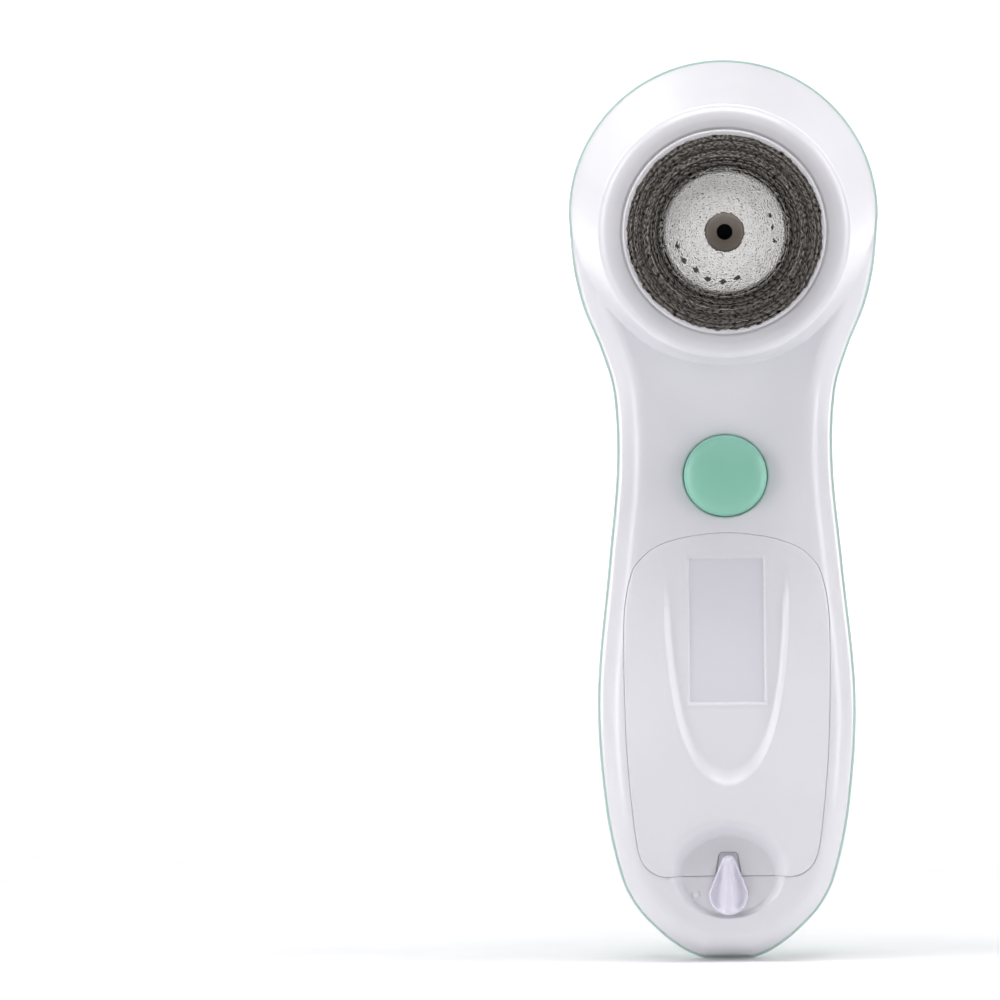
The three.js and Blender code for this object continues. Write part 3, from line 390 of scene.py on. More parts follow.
def step_share(x, z):
    """0 outside the U, 1 inside it, with a slope across the band between its two edges."""
    p = np.stack([x, z], 1)
    outer, inner = (
        loop_distance(p, loop) * np.where(inside_loop(p, loop), 1, -1)
        for loop in (STEP_OUTER_LOOP, STEP_INNER_LOOP)
    )
    return np.clip(outer / np.maximum(outer - inner, 1e-6), 0, 1)


def label_inset(x, z):
    half, low, high = LABEL
    return np.minimum(half - np.abs(x), np.minimum(z - low, high - z))


def door_detail(x, z):
    """How far the door's surface lies below the plain outside surface."""
    share = step_share(x, z)
    fade = rise(-z, -84, -66)
    slope = rise(share, 0.0, 1.0) * STEP_HEIGHT
    lip = -0.2 * np.exp(-((share - 0.05) / 0.2) ** 2)
    inset = label_inset(x, z)
    label = LABEL_STEP * rise(inset, -0.05, 0.4) - 0.12 * np.exp(-((inset + 0.35) / 0.3) ** 2)
    return (slope + lip) * fade + label


# ---- meshes

def piece(name, mesh, body, slot):
    """Object of a finished mesh that rides on a body and has its slot's material."""
    obj = bpy.data.objects.new(name, mesh)
    bpy.context.scene.collection.objects.link(obj)
    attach(obj, body)
    coat(obj, slot)
    return obj


def mesh_object(name, points, faces, body, slot, sharp=40 * DEG):
    """Smooth-shaded piece from points in millimetres (x, y, z)."""
    mesh = bpy.data.meshes.new(name)
    mesh.from_pydata([tuple(p) for p in np.asarray(points, float) * MM], [], [tuple(f) for f in faces])
    mesh.validate()
    mesh.update()
    mesh.shade_smooth()
    mesh.set_sharp_from_angle(angle=sharp)
    return piece(name, mesh, body, slot)


def thin_out(groups):
    """Points of each (points, spacing) group that keep their distance from those accepted before."""
    cell = 0.5
    grid = {}
    accepted = []
    for points, gap in groups:
        reach = int(math.ceil(gap / cell))
        for x, z in points:
            i, j = int(math.floor(x / cell)), int(math.floor(z / cell))
            near = any(
                (x - a) ** 2 + (z - b) ** 2 < gap * gap
                for di in range(-reach, reach + 1)
                for dj in range(-reach, reach + 1)
                for a, b in grid.get((i + di, j + dj), ())
            )
            if not near:
                grid.setdefault((i, j), []).append((x, z))
                accepted.append((x, z))
    return np.array(accepted)


FILL_GAP = 0.62  # smallest distance between fill points, as a part of their spacing
EDGE_GAP = 0.05  # smallest distance of a free point from an edge


def hex_grid(low, high, spacing):
    rows = np.arange(low[1], high[1], spacing * math.sqrt(0.75))
    points = []
    for k, z in enumerate(rows):
        xs = np.arange(low[0] + (k % 2) * spacing / 2, high[0], spacing)
        points.append(np.stack([xs, np.full_like(xs, z)], 1))
    return np.concatenate(points)


def true_normals(obj, surface, flat, first, front_faces):
    """Shades the outside of a panel with the surface's own normals, away from its edges."""
    step = 0.02
    x, z = flat[:, 0], flat[:, 1]
    across = surface(x + step, z) - surface(x - step, z)
    up = surface(x, z + step) - surface(x, z - step)
    normal = np.cross(across, up)
    normal /= np.linalg.norm(normal, axis=1)[:, None]
    normal[:first] = 0
    corners = np.zeros(len(obj.data.loops), np.int32)
    obj.data.loops.foreach_get("vertex_index", corners)
    custom = np.zeros((len(corners), 3))
    outside = slice(0, 3 * front_faces)
    custom[outside] = normal[corners[outside]]
    obj.data.normals_split_custom_set(custom.tolist())


def panel(name, outer, holes, extra, surface, inner, body, slot, spacing, shaded=False):
    """Closed plate: a height field inside the outer loop and outside the holes, an inner face and rims.

    surface(x, z) and inner(x, z) return (n, 3) positions of the outside and of the hidden side.
    extra lists (points, smallest distance) groups that catch fine detail."""
    loops = [outer] + holes
    boundary = np.concatenate(loops)
    low, high = outer.min(0), outer.max(0)
    fill = hex_grid(low, high, spacing)
    candidates = thin_out([(boundary, 0.0)] + extra + [(fill, spacing * FILL_GAP)])[len(boundary):]
    keep = inside_loop(candidates, outer) & (loop_distance(candidates, outer) > EDGE_GAP)
    for hole in holes:
        keep &= ~inside_loop(candidates, hole) & (loop_distance(candidates, hole) > EDGE_GAP)
    points = np.concatenate([boundary, candidates[keep]])
    edges = []
    start = 0
    for loop in loops:
        count = len(loop)
        edges += [(start + k, start + (k + 1) % count) for k in range(count)]
        start += count
    result = delaunay_2d_cdt([Vector(p) for p in points], edges, [], 0, 1e-6, True)
    flat = np.array([tuple(p) for p in result[0]])
    triangles = np.array([tuple(f) for f in result[2] if len(f) == 3])
    middle = flat[triangles].mean(1)
    inside = inside_loop(middle, outer)
    for hole in holes:
        inside &= ~inside_loop(middle, hole)
    triangles = triangles[inside]
    count = len(flat)
    front = surface(flat[:, 0], flat[:, 1])
    back = inner(flat[:, 0], flat[:, 1])
    a, b, c = (flat[triangles[:, k]] for k in range(3))
    turn = (b[:, 0] - a[:, 0]) * (c[:, 1] - a[:, 1]) - (b[:, 1] - a[:, 1]) * (c[:, 0] - a[:, 0])
    faces = np.where((turn > 0)[:, None], triangles, triangles[:, ::-1])
    directed = {(int(p), int(q)) for f in faces for p, q in zip(f, np.roll(f, -1))}
    rims = [(p, q, q + count, p + count)[::-1] for p, q in directed if (q, p) not in directed]
    hidden = faces[:, ::-1] + count
    all_faces = [tuple(f) for f in faces] + [tuple(f) for f in hidden] + sorted(rims)
    obj = mesh_object(name, np.concatenate([front, back]), all_faces, body, slot)
    if shaded:
        true_normals(obj, surface, flat, len(boundary), len(faces))
    return obj


def place(x, depth, z):
    return np.stack([x, FOOT_DEPTH - depth, z], 1)


def sunk(depth, thickness):
    """Function that gives the hidden side: the surface moved inwards along its normal."""
    def inner(x, z):
        step = 0.2
        d = depth(x, z)
        dx = (depth(x + step, z) - depth(x - step, z)) / (2 * step)
        dz = (depth(x, z + step) - depth(x, z - step)) / (2 * step)
        scale = thickness / np.sqrt(1 + dx ** 2 + dz ** 2)
        return np.stack([x + dx * scale, FOOT_DEPTH - d + scale, z + dz * scale], 1)
    return inner

# ---- materials

MATERIALS = {}


class Nodes:
    """Short helper for building the node tree of a material, which MATERIALS then holds by name."""

    def __init__(self, name):
        self.material = MATERIALS[name] = bpy.data.materials.new(name)
        self.material.use_nodes = True
        self.tree = self.material.node_tree
        self.shader = self.tree.nodes["Principled BSDF"]
        self.coordinates = self.add("ShaderNodeTexCoord").outputs["Object"]

    def add(self, kind, inputs=(), **settings):
        """New node with these (input, value) pairs and settings."""
        node = self.tree.nodes.new(kind)
        for key, value in settings.items():
            setattr(node, key, value)
        for key, value in inputs:
            node.inputs[key].default_value = value
        return node

    def link(self, source, target):
        self.tree.links.new(source, target)

    def noise(self, scale, detail=3.0, roughness=0.5, vector=None):
        inputs = ("Scale", scale), ("Detail", detail), ("Roughness", roughness)
        node = self.add("ShaderNodeTexNoise", inputs)
        self.link(vector or self.coordinates, node.inputs["Vector"])
        return node.outputs["Fac"]

    def between(self, fac, low, high, steps=(0.35, 0.65)):
        """Number between low and high as fac goes between two levels."""
        inputs = ("From Min", steps[0]), ("From Max", steps[1]), ("To Min", low), ("To Max", high)
        node = self.add("ShaderNodeMapRange", inputs)
        self.link(fac, node.inputs["Value"])
        return node.outputs["Result"]

    def mix(self, fac, first, second):
        """Colour between two colours, each a tuple or a socket."""
        node = self.add("ShaderNodeMix", data_type="RGBA")
        self.link(fac, node.inputs[0])
        for socket, value in ((node.inputs[6], first), (node.inputs[7], second)):
            if isinstance(value, tuple):
                socket.default_value = (*value, 1)
            else:
                self.link(value, socket)
        return node.outputs[2]

    def bump(self, height, strength, distance=0.00005):
        node = self.add("ShaderNodeBump", (("Strength", strength), ("Distance", distance)))
        self.link(height, node.inputs["Height"])
        return node.outputs["Normal"]

    def edges(self):
        """1 on worn convex edges, 0 elsewhere."""
        geometry = self.add("ShaderNodeNewGeometry")
        return self.between(geometry.outputs["Pointiness"], 0, 1, (0.51, 0.58))

    def finish(self, colour, roughness, normal):
        """Links the three results to the shader."""
        for source, target in ((colour, "Base Color"), (roughness, "Roughness"), (normal, "Normal")):
            self.link(source, self.shader.inputs[target])


def srgb(text):
    """Linear colour of a six-digit hexadecimal colour."""
    values = [int(text[k:k + 2], 16) / 255 for k in (0, 2, 4)]
    return tuple(v / 12.92 if v <= 0.04045 else ((v + 0.055) / 1.055) ** 2.4 for v in values)


def shade(colour, factor):
    return tuple(min(v * factor, 1) for v in colour)


def moulded(name, colour, roughness, grain, gloss=0, tint=None, wear=0.12, grain_size=2600):
    """Injection-moulded plastic: faint flow clouds, fine grain, soft smears and rubbed patches."""
    n = Nodes(name)
    base = srgb(colour)
    second = srgb(tint) if tint else shade(base, 1.02)
    body = n.mix(n.between(n.noise(30, 3), 0, 1, (0.3, 0.7)), shade(base, 0.975), second)
    rubbed = n.between(n.noise(14, 5, 0.6), 0, 1, (0.58, 0.72))
    n.shader.inputs["Coat Weight"].default_value = gloss
    n.shader.inputs["Coat Roughness"].default_value = 0.12
    n.finish(
        n.mix(rubbed, body, shade(base, 1 + wear)),
        n.between(n.noise(40, 2), roughness * 0.85, roughness * 1.15, (0.1, 0.9)),
        n.bump(n.noise(grain_size, 2), grain),
    )


def metal(name, colour, roughness):
    """Drawn or turned metal: streaks along one direction, smudges and a slightly brighter edge."""
    n = Nodes(name)
    base = srgb(colour)
    mapping = n.add("ShaderNodeMapping", [("Scale", (1, 1, 30))])
    n.link(n.coordinates, mapping.inputs["Vector"])
    streaks = n.noise(400, 3, 0.6, mapping.outputs["Vector"])
    body = n.mix(n.between(streaks, 0, 1), shade(base, 0.82), shade(base, 1.08))
    n.shader.inputs["Metallic"].default_value = 1
    n.finish(
        n.mix(n.edges(), body, shade(base, 1.2)),
        n.between(n.noise(150, 4), roughness * 0.75, roughness * 1.35),
        n.bump(streaks, 0.12),
    )


def rubber(name, colour, roughness):
    """Soft seal: matt, slightly dusty, with a pebbled skin."""
    n = Nodes(name)
    base = srgb(colour)
    dust = n.noise(120, 5, 0.65)
    n.finish(
        n.mix(n.between(dust, 0, 1), shade(base, 0.85), shade(base, 1.25)),
        n.between(dust, roughness * 0.85, min(roughness * 1.12, 1)),
        n.bump(n.noise(1500, 3), 0.25, 0.00008),
    )


def bristle(name, root, tip, highlight_colour, ring_scale, tips_at, roots_at, roughness):
    """Nylon filaments: darker towards the root as painted shade deep among them, with concentric bands of a
    paler colour about the brush axis as the painted highlights of spinning filaments.
    """
    n = Nodes(name)
    split = n.add("ShaderNodeSeparateXYZ")
    n.link(n.coordinates, split.inputs[0])
    centred = n.add("ShaderNodeCombineXYZ")
    lift = n.add("ShaderNodeMath", [(1, AXIS_Z * MM)], operation="SUBTRACT")
    n.link(split.outputs["Z"], lift.inputs[0])
    n.link(split.outputs["X"], centred.inputs["X"])
    n.link(lift.outputs[0], centred.inputs["Y"])
    radius = n.add("ShaderNodeVectorMath", operation="LENGTH")
    n.link(centred.outputs[0], radius.inputs[0])
    along = n.add("ShaderNodeCombineXYZ")
    n.link(radius.outputs["Value"], along.inputs["X"])
    # Painted highlight: paler concentric bands stand in for the glints of spinning filaments.
    rings = n.noise(ring_scale, 3, 0.7, along.outputs[0])
    strands = n.noise(1400, 2)
    # Painted shade: the colour darkens from tip to root, standing in for the shade deep among the
    # filaments.
    shaded_to_root = n.mix(n.between(split.outputs["Y"], 0, 1, (roots_at, tips_at)), srgb(root), srgb(tip))
    highlight_banded = n.mix(n.between(rings, 0, 0.85, (0.52, 0.64)), shaded_to_root, srgb(highlight_colour))
    n.finish(
        n.mix(n.between(strands, 0, 0.3, (0.45, 0.75)), highlight_banded, shade(srgb(root), 0.9)),
        n.between(strands, roughness * 0.8, roughness * 1.2),
        n.bump(strands, 0.2),
    )


def board_green(name):
    """Solder-masked board with faint copper tracks under the lacquer."""
    n = Nodes(name)
    colours = ("Color1", "1f6b45"), ("Color2", "24784e"), ("Mortar", "2f8f5e")
    inputs = [(socket, (*srgb(colour), 1)) for socket, colour in colours]
    tracks = n.add("ShaderNodeTexBrick", [("Scale", 220)] + inputs)
    n.link(n.coordinates, tracks.inputs["Vector"])
    n.finish(
        n.mix(n.between(n.noise(300, 4), 0, 0.5), tracks.outputs["Color"], srgb("18553a")),
        n.between(n.noise(160, 4), 0.28, 0.45),
        n.bump(tracks.outputs["Fac"], 0.2),
    )


# Paler copy of the mint for the rear cover. It is partly the cover's translucent plastic and partly painted
# light, lifting its thin edge out of the shade of the parting gap.
moulded("pale_mint", "cbe4dc", 0.34, 0.06, 0.2, "d1e8e1", 0.1)
moulded("white_shell", "dfdee4", 0.3, 0.035, 0.25, "e3e2e7", 0.03)
moulded("mint_shell", "8ccab5", 0.36, 0.08, 0.15, "93d0bb")
moulded("lavender_white", "dbd7e6", 0.25, 0.04, 0.35, "e2dfec", 0.06)
rubber("seal_rubber", "4a4d50", 0.78)
rubber("silicone", "d3d8d8", 0.6)
# The third colour of each bristle is a painted highlight in concentric bands. The darker root colour is
# painted shade among the filaments.
bristle("dark_bristle", "3b3633", "67615c", "bdb7b1", 1500, -0.036, -0.028, 0.5)
bristle("white_bristle", "cdc5be", "fbf9f7", "fdfcfb", 500, -0.0325, -0.0285, 0.55)
moulded("grey_cup", "ada49c", 0.55, 0.2, 0, "b5aca4", 0.15)
metal("steel", "b9bcc0", 0.28)
metal("brass", "c7a355", 0.32)
moulded("gear_plastic", "f0eee2", 0.42, 0.1, wear=0.05)
moulded("inner_plastic", "cfd2d5", 0.5, 0.15)
board_green("circuit_board")
moulded("black_plastic", "26272a", 0.48, 0.2, wear=0.3)
moulded("cell_sleeve", "4a7fb0", 0.28, 0.04, 0.4, "4477a6", 0.2)
moulded("red_wire", "b3262a", 0.42, 0.1, 0, "a32226", 0.25)
moulded("black_wire", "1d1d1f", 0.42, 0.1, wear=0.3)
moulded("label_recess", "d6d5dd", 0.42, 0.14, 0, "dad9e1", 0.03, 1800)
# Near-black painted shade for the walls deep in the centre cup's hole.
moulded("cup_hole_painted_shade", "0d0c0c", 0.7, 0.1, wear=0.5)


def coat(obj, *names):
    """Gives an object the materials of these names."""
    obj.data.materials.clear()
    for name in names:
        obj.data.materials.append(MATERIALS[name])


# ---- front shell

BUTTON_Z = 96.4
BUTTON_RADIUS = 8.3
BUTTON_TILT = 15.5 * DEG
BUTTON_SEAT = float(front_depth(np.array([BUTTON_Z]))[0])
BUTTON_SQUASH = math.cos(BUTTON_TILT)
BUTTON_RIM = 1.6  # width of the shallow dip round the button
SEAL_HOLE = 6.2

DOOR_HOLE = door_loop(SEAM, 0.8)
DOOR_EDGE = door_loop(0.0, 0.8)
BUTTON_HOLE = circle_loop(0, BUTTON_Z, BUTTON_RADIUS + HOLE_GAP, 96, BUTTON_SQUASH)
SPINDLE_HOLE = circle_loop(0, AXIS_Z, SEAL_HOLE, 64)


def button_dip(x, z):
    """Shallow dip that leads the surface down to the button hole."""
    r = np.hypot(x, (z - BUTTON_Z) / BUTTON_SQUASH) - BUTTON_RADIUS - HOLE_GAP
    return quarter_round(np.maximum(r, 0), 0.55) + 0.12 * np.exp(-(r / BUTTON_RIM) ** 2)


def latch_dot(x, z):
    cx, cz, radius = LATCH_DOT
    return 0.42 * rise(-np.hypot(x - cx, z - cz), -radius, -radius * 0.45)


def front_surface(x, z):
    """Outside of the front shell with its rounded openings."""
    p = np.stack([x, z], 1)
    depth = shell_depth(x, z) - button_dip(x, z) + latch_dot(x, z)
    depth -= quarter_round(loop_distance(p, DOOR_HOLE), LIP)
    depth -= quarter_round(np.maximum(np.hypot(x, z - AXIS_Z) - SEAL_HOLE, 0), 0.4)
    return place(x, depth, z)


def outline_rings():
    """Rows of points along the outline where the side wall and the rounded band turn."""
    rows = [0.45, 0.56, 0.72, 0.95, 1.3, 1.75, 2.3, 2.95, 3.7, 4.5, 5.2, 5.9]
    return [(offset_loop(SHELL_LOOP, t), 0.12 if t < 1 else 0.4) for t in rows]


def cone_ring(share, count):
    """Circle round the side of the head, 0 at its rim and 1 at the brush seat."""
    radius = HEAD_RADIUS - OVERHANG + (SEAT_RADIUS - HEAD_RADIUS + OVERHANG) * share
    return circle_loop(0, HEAD_Z + (AXIS_Z - HEAD_Z) * share, radius, count)


def cone_rings():
    """Rings of points up the side of the head and round the edge of the brush seat."""
    shares = (0.06, 0.2, 0.35, 0.5, 0.65, 0.8, 0.9, 0.96, 1.0, 1.04)
    return [(cone_ring(share, 220), 0.16) for share in shares]


def neck_rings():
    """Arcs that follow the side of the head down into the neck."""
    rings = [cone_ring(share, 300) for share in np.arange(-1.1, 1.0, 0.055)]
    return [(ring[ring[:, 1] < AXIS_Z], 0.16) for ring in rings]


def dish_rings():
    """Rings of points down the wall of the latch recess and over its rounded lip."""
    radii = [7.5, 8.4, 9.0, 9.4, 9.8, 10.2, 10.7, 11.2, 11.7, 12.2, 12.8, 13.4, 14.2]
    return [(circle_loop(0, DISH_Z, r, int(r * 9), DISH_SQUASH), 0.3) for r in radii]


def dot_rings():
    cx, cz, radius = LATCH_DOT
    return [(circle_loop(cx, cz, radius * k, 20), 0.1) for k in (0.35, 0.6, 0.85, 1.05)]


def edge_rings(loop, sides):
    """Rows of points beside an opening's edge, where it rounds over."""
    return [(offset_loop(loop, side), 0.05) for side in sides]


front = panel(
    "shell_front", SHELL_LOOP, [DOOR_HOLE, BUTTON_HOLE, SPINDLE_HOLE],
    edge_rings(DOOR_HOLE, (-0.06, -0.14, -0.26, -0.55))
    + edge_rings(BUTTON_HOLE, (-0.1, -0.28, -0.55, -1.1))
    + dot_rings() + outline_rings() + neck_rings() + cone_rings() + dish_rings(),
    front_surface, sunk(shell_depth, WALL), "handle", "white_shell", spacing=0.85, shaded=True,
)


def band_faces(corners, count, steps):
    """Quads between neighbouring rows of a band that has count points in each of its corner rows."""
    faces = []
    for c in range(corners):
        for k in range(steps):
            n = (k + 1) % count
            up = (c + 1) % corners * count
            faces.append((c * count + k, c * count + n, up + n, up + k))
    return faces


def door_ledge():
    """Ledge of the front shell that the door and its seal close on, left open at the latch recess."""
    loop = door_loop(0.0, 1.2)
    clear = (np.abs(loop[:, 0]) < 13) & (loop[:, 1] < 27)
    start = int(np.argmax(clear & ~np.roll(clear, -1))) + 1
    loop = np.roll(loop, -start, 0)
    loop = loop[~np.roll(clear, -start)]
    # Corners of its section: outwards from the door's edge, and how far under the outside
    section = [(1.5, 1.65), (0.6, 1.65), (0.5, 2.85), (-1.3, 2.85), (-1.3, 3.75), (1.5, 3.75)]
    rows = []
    for outward, under in section:
        x, z = offset_loop(loop, -outward).T
        rows.append(place(x, shell_depth(x, z) - under, z))
    count = len(loop)
    corners = len(section)
    faces = band_faces(corners, count, count - 1)
    faces.append(tuple(c * count for c in range(corners)))
    faces.append(tuple(c * count + count - 1 for c in reversed(range(corners))))
    mesh_object("shell_door_ledge", np.concatenate(rows), faces, "handle", "white_shell", sharp=30 * DEG)


door_ledge()
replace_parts(front, "front_shell")

# ---- rear cover

COVER = 1.7
BODY_SCREWS = [(side * x, z) for x, z in ((19, 162), (14.5, 109.5), (12.2, 15)) for side in (1, -1)]
COUNTERBORE = 2.6
COVER_LOOP = outline_loop(0, 0.7)
SCREW_LOOPS = [circle_loop(x, z, COUNTERBORE, 40) for x, z in BODY_SCREWS]


def cover_back(x, z):
    """Rear face of the cover, rounded over at its edge and at the screw recesses."""
    t = loop_distance(np.stack([x, z], 1), COVER_LOOP)
    depth = back_depth(z) + quarter_round(t, 1.1)
    for cx, cz in BODY_SCREWS:
        depth = depth + quarter_round(np.maximum(np.hypot(x - cx, z - cz) - COUNTERBORE, 0), 0.35)
    return place(x, depth, z)


def cover_front(x, z):
    t = loop_distance(np.stack([x, z], 1), COVER_LOOP)
    return place(x, back_depth(z) + COVER - quarter_round(t, 0.12), z)


cover = panel(
    "shell_rear", COVER_LOOP, SCREW_LOOPS,
    [(offset_loop(COVER_LOOP, t), 0.05) for t in (0.06, 0.16, 0.3, 0.45, 0.7, 1.1, 1.6)]
    + [(circle_loop(x, z, COUNTERBORE + g, 40), 0.05) for x, z in BODY_SCREWS for g in (0.1, 0.22, 0.36)],
    cover_back, cover_front, "handle", "mint_shell", spacing=1.6,
)
cover.data.flip_normals()
# Partly painted light: the cover takes the paler copy of the mint so its thin edge reads light.
coat(cover, "pale_mint")


def lathe(name, profile, x, z, body, slot, segments):
    """Solid of revolution about a line along Y from (radius, depth) points, closed or ending on it."""
    angle = np.arange(segments) * 2 * math.pi / segments
    points = []
    rings = []
    for radius, depth in profile:
        if radius < 1e-6:
            rings.append([len(points)] * segments)
            points.append((x, FOOT_DEPTH - depth, z))
        else:
            rings.append(list(range(len(points), len(points) + segments)))
            ring = zip(np.cos(angle), np.sin(angle))
            points += [(x + radius * c, FOOT_DEPTH - depth, z + radius * s) for c, s in ring]
    faces = []
    for low, high in zip(rings, rings[1:]):
        for k in range(segments):
            n = (k + 1) % segments
            face = [low[k], low[n], high[n], high[k]]
            unique = list(dict.fromkeys(face))
            if len(unique) > 2:
                faces.append(tuple(reversed(unique)))
    return mesh_object(name, points, faces, body, slot)


def eased(corners, radius, steps=4):
    """Profile with its corners rounded; the first and last points stay."""
    result = [corners[0]]
    for before, corner, after in zip(corners, corners[1:], corners[2:]):
        p, q, r = (np.array(v, float) for v in (before, corner, after))
        first, second = p - q, r - q
        reach = min(radius, np.linalg.norm(first) * 0.45, np.linalg.norm(second) * 0.45)
        start = q + first / np.linalg.norm(first) * reach
        end = q + second / np.linalg.norm(second) * reach
        for k in range(steps + 1):
            t = k / steps
            result.append(tuple((1 - t) ** 2 * start + 2 * t * (1 - t) * q + t * t * end))
    return result + [corners[-1]]


# Screw recesses in the rear cover: a cup under each opening with a seat for the screw's head.
for index, (sx, sz) in enumerate(BODY_SCREWS):
    edge = float(back_depth(np.array([sz]))[0])
    cup = lathe(
        f"screw_recess_{index + 1}",
        eased([
            (COUNTERBORE, edge + 0.3), (COUNTERBORE, edge + 1.0), (1.3, edge + 1.0), (1.3, edge + 1.7),
            (3.2, edge + 1.7), (3.2, edge + 0.9), (COUNTERBORE, edge + 0.3),
        ], 0.12),
        sx, sz, "handle", "mint_shell", 40,
    )
    coat(cup, "pale_mint")


def cover_skirt():
    """Upright inner wall of the rear cover that locates it in the front shell."""
    loop = outline_loop(4.25, 1.2)
    half = 0.45
    rows = []
    for inset, offset in ((-half, 1.5), (half, 1.5), (half, 3.8), (-half, 3.8)):
        x, z = offset_loop(loop, inset).T
        rows.append(place(x, back_depth(z) + offset, z))
    faces = band_faces(len(rows), len(loop), len(loop))
    return mesh_object("cover_skirt", np.concatenate(rows), faces, "handle", "mint_shell", sharp=30 * DEG)


coat(cover_skirt(), "pale_mint")
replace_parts(cover, "rear_shell")

# ---- battery door

def door_surface(x, z):
    p = np.stack([x, z], 1)
    depth = shell_depth(x, z) - door_detail(x, z) - quarter_round(loop_distance(p, DOOR_EDGE), LIP)
    return place(x, depth, z)


def door_rings():
    """Rows of points along the edges of the lowered field and of the label recess."""
    first, last = STEP_OUTER_LOOP[:STEP_POINTS], STEP_INNER_LOOP[:STEP_POINTS]
    rows = [(first * (1 - k) + last * k, 0.1) for k in (0, 0.15, 0.3, 0.5, 0.7, 0.85, 1)]
    half, low, high = LABEL
    for inset in (-0.6, -0.35, -0.05, 0.18, 0.42):
        corners = [
            (half - inset, low + inset), (half - inset, high - inset),
            (inset - half, high - inset), (inset - half, low + inset), (half - inset, low + inset),
        ]
        rows.append((fill_between(corners, 0.7), 0.1))
    return rows


door = panel(
    "door_panel", DOOR_EDGE, [],
    edge_rings(DOOR_EDGE, (0.06, 0.14, 0.26, 0.55)) + door_rings() + dish_rings(),
    door_surface, sunk(shell_depth, WALL), "door", "white_shell", spacing=1.0, shaded=True,
)
coat(door, "white_shell", "label_recess")
for face in door.data.polygons:
    centre = face.center / MM
    flat = np.array([centre.x]), np.array([centre.z])
    if label_inset(*flat)[0] > 0.3 and face.normal.y < -0.3:
        face.material_index = 1

TONGUE_DEPTH = 18.0


def soft_block(name, low, high, edge, body, slot):
    """Box between two corners, in millimetres, with rounded edges."""
    work = bmesh.new()
    bmesh.ops.create_cube(work, size=1)
    low, high = Vector(low) * MM, Vector(high) * MM
    for vertex in work.verts:
        vertex.co = Vector(low[k] + (vertex.co[k] + 0.5) * (high[k] - low[k]) for k in range(3))
    bmesh.ops.bevel(work, geom=work.edges[:], offset=edge * MM, segments=3, profile=0.6, affect="EDGES")
    mesh = bpy.data.meshes.new(name)
    work.to_mesh(mesh)
    work.free()
    mesh.shade_smooth()
    mesh.set_sharp_from_angle(angle=50 * DEG)
    return piece(name, mesh, body, slot)


# Two tongues with hooks hang from the door's upper edge: the reach forwards and the heights of each block.
for side, label in ((-1, "left"), (1, "right")):
    rear = FOOT_DEPTH - TONGUE_DEPTH
    for part, reach, bottom, top in (("tongue", 5.2, 81.2, 82.2), ("hook", 1, 81.3, 85.0)):
        soft_block(
            f"door_{part}_{label}", (side * 7 - 1.4, rear - reach, bottom), (side * 7 + 1.4, rear, top),
            0.2, "door", "white_shell",
        )
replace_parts(door, "battery_door")

# ---- latch knob

KNOB_BACK = DISH_FLOOR + 0.8
KNOB_RADIUS = 3.9
NOSE_Z = 20.1
NOSE_RADIUS = 1.45


def teardrop():
    """Outline of the knob: round at the pivot, with a narrower round nose above it."""
    arcs = ((KNOB_RADIUS, LATCH_Z, (168, 372, 40)), (NOSE_RADIUS, NOSE_Z, (12, 168, 20)))
    runs = []
    for radius, z, sweep in arcs:
        angle = np.linspace(*sweep) * DEG
        runs.append(np.stack([radius * np.cos(angle), z + radius * np.sin(angle)], 1))
    return resample(np.concatenate(runs), 0.3)


KNOB_LOOP = teardrop()


def knob_height(x, z):
    """Front face of the knob: a thin fin down the middle between two hollow flanks."""
    t = loop_distance(np.stack([x, z], 1), KNOB_LOOP)
    along = np.clip((z - LATCH_Z) / (NOSE_Z - LATCH_Z), 0, 1)
    out = np.maximum(np.abs(x) - 0.55 + 0.15 * along, 0)
    flank = 1.85 * np.maximum(1 - out / 2.4, 0) ** 3.4
    rim = 0.75 * rise(-t, -1.0, -0.3)
    ends = rise(t, 0.0, 1.0)
    return KNOB_BACK + 0.3 + flank * ends + rim - quarter_round(t, 0.3)


knob = panel(
    "knob_grip", KNOB_LOOP, [],
    [(offset_loop(KNOB_LOOP, t), 0.04) for t in (0.08, 0.2, 0.35, 0.5, 0.75, 1.05, 1.4)],
    lambda x, z: place(x, knob_height(x, z), z),
    lambda x, z: place(x, np.full_like(x, KNOB_BACK), z),
    "latch", "lavender_white", spacing=0.3,
)
lathe(
    "knob_shaft",
    eased([
        (0, 29.4), (1.5, 29.4), (1.5, DISH_FLOOR + 0.3), (3.0, DISH_FLOOR + 0.3), (3.0, KNOB_BACK + 0.3),
        (0, KNOB_BACK + 0.3),
    ], 0.2),
    0, LATCH_Z, "latch", "lavender_white", 64,
)
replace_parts(knob, "latch_knob")

# ---- power button

BUTTON_DOME = 3.0


def button_profile():
    """Dome with a rolled edge over a flange and stem; heights above the shell surface."""
    dome = [
        (BUTTON_RADIUS * math.sin(a * DEG), 0.3 + (BUTTON_DOME - 0.3) * math.cos(a * DEG) ** 0.9)
        for a in range(0, 88, 4)
    ]
    skirt = [
        (BUTTON_RADIUS, 0.3), (BUTTON_RADIUS, -2.7), (9.6, -2.7), (9.6, -3.4), (2, -3.4), (2, -8), (0, -8),
    ]
    return dome + eased(skirt, 0.2)


button = lathe("button_cap", button_profile(), 0, 0, "button", "mint_shell", 128)
tilt = Matrix.Rotation(-BUTTON_TILT, 4, "X")
seat = Matrix.Translation(Vector((0, FOOT_DEPTH - BUTTON_SEAT, BUTTON_Z)) * MM)
down = Matrix.Translation(Vector((0, -FOOT_DEPTH, 0)) * MM)
button.data.transform(seat @ tilt @ down)
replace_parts(button, "power_button")

# ---- brush head

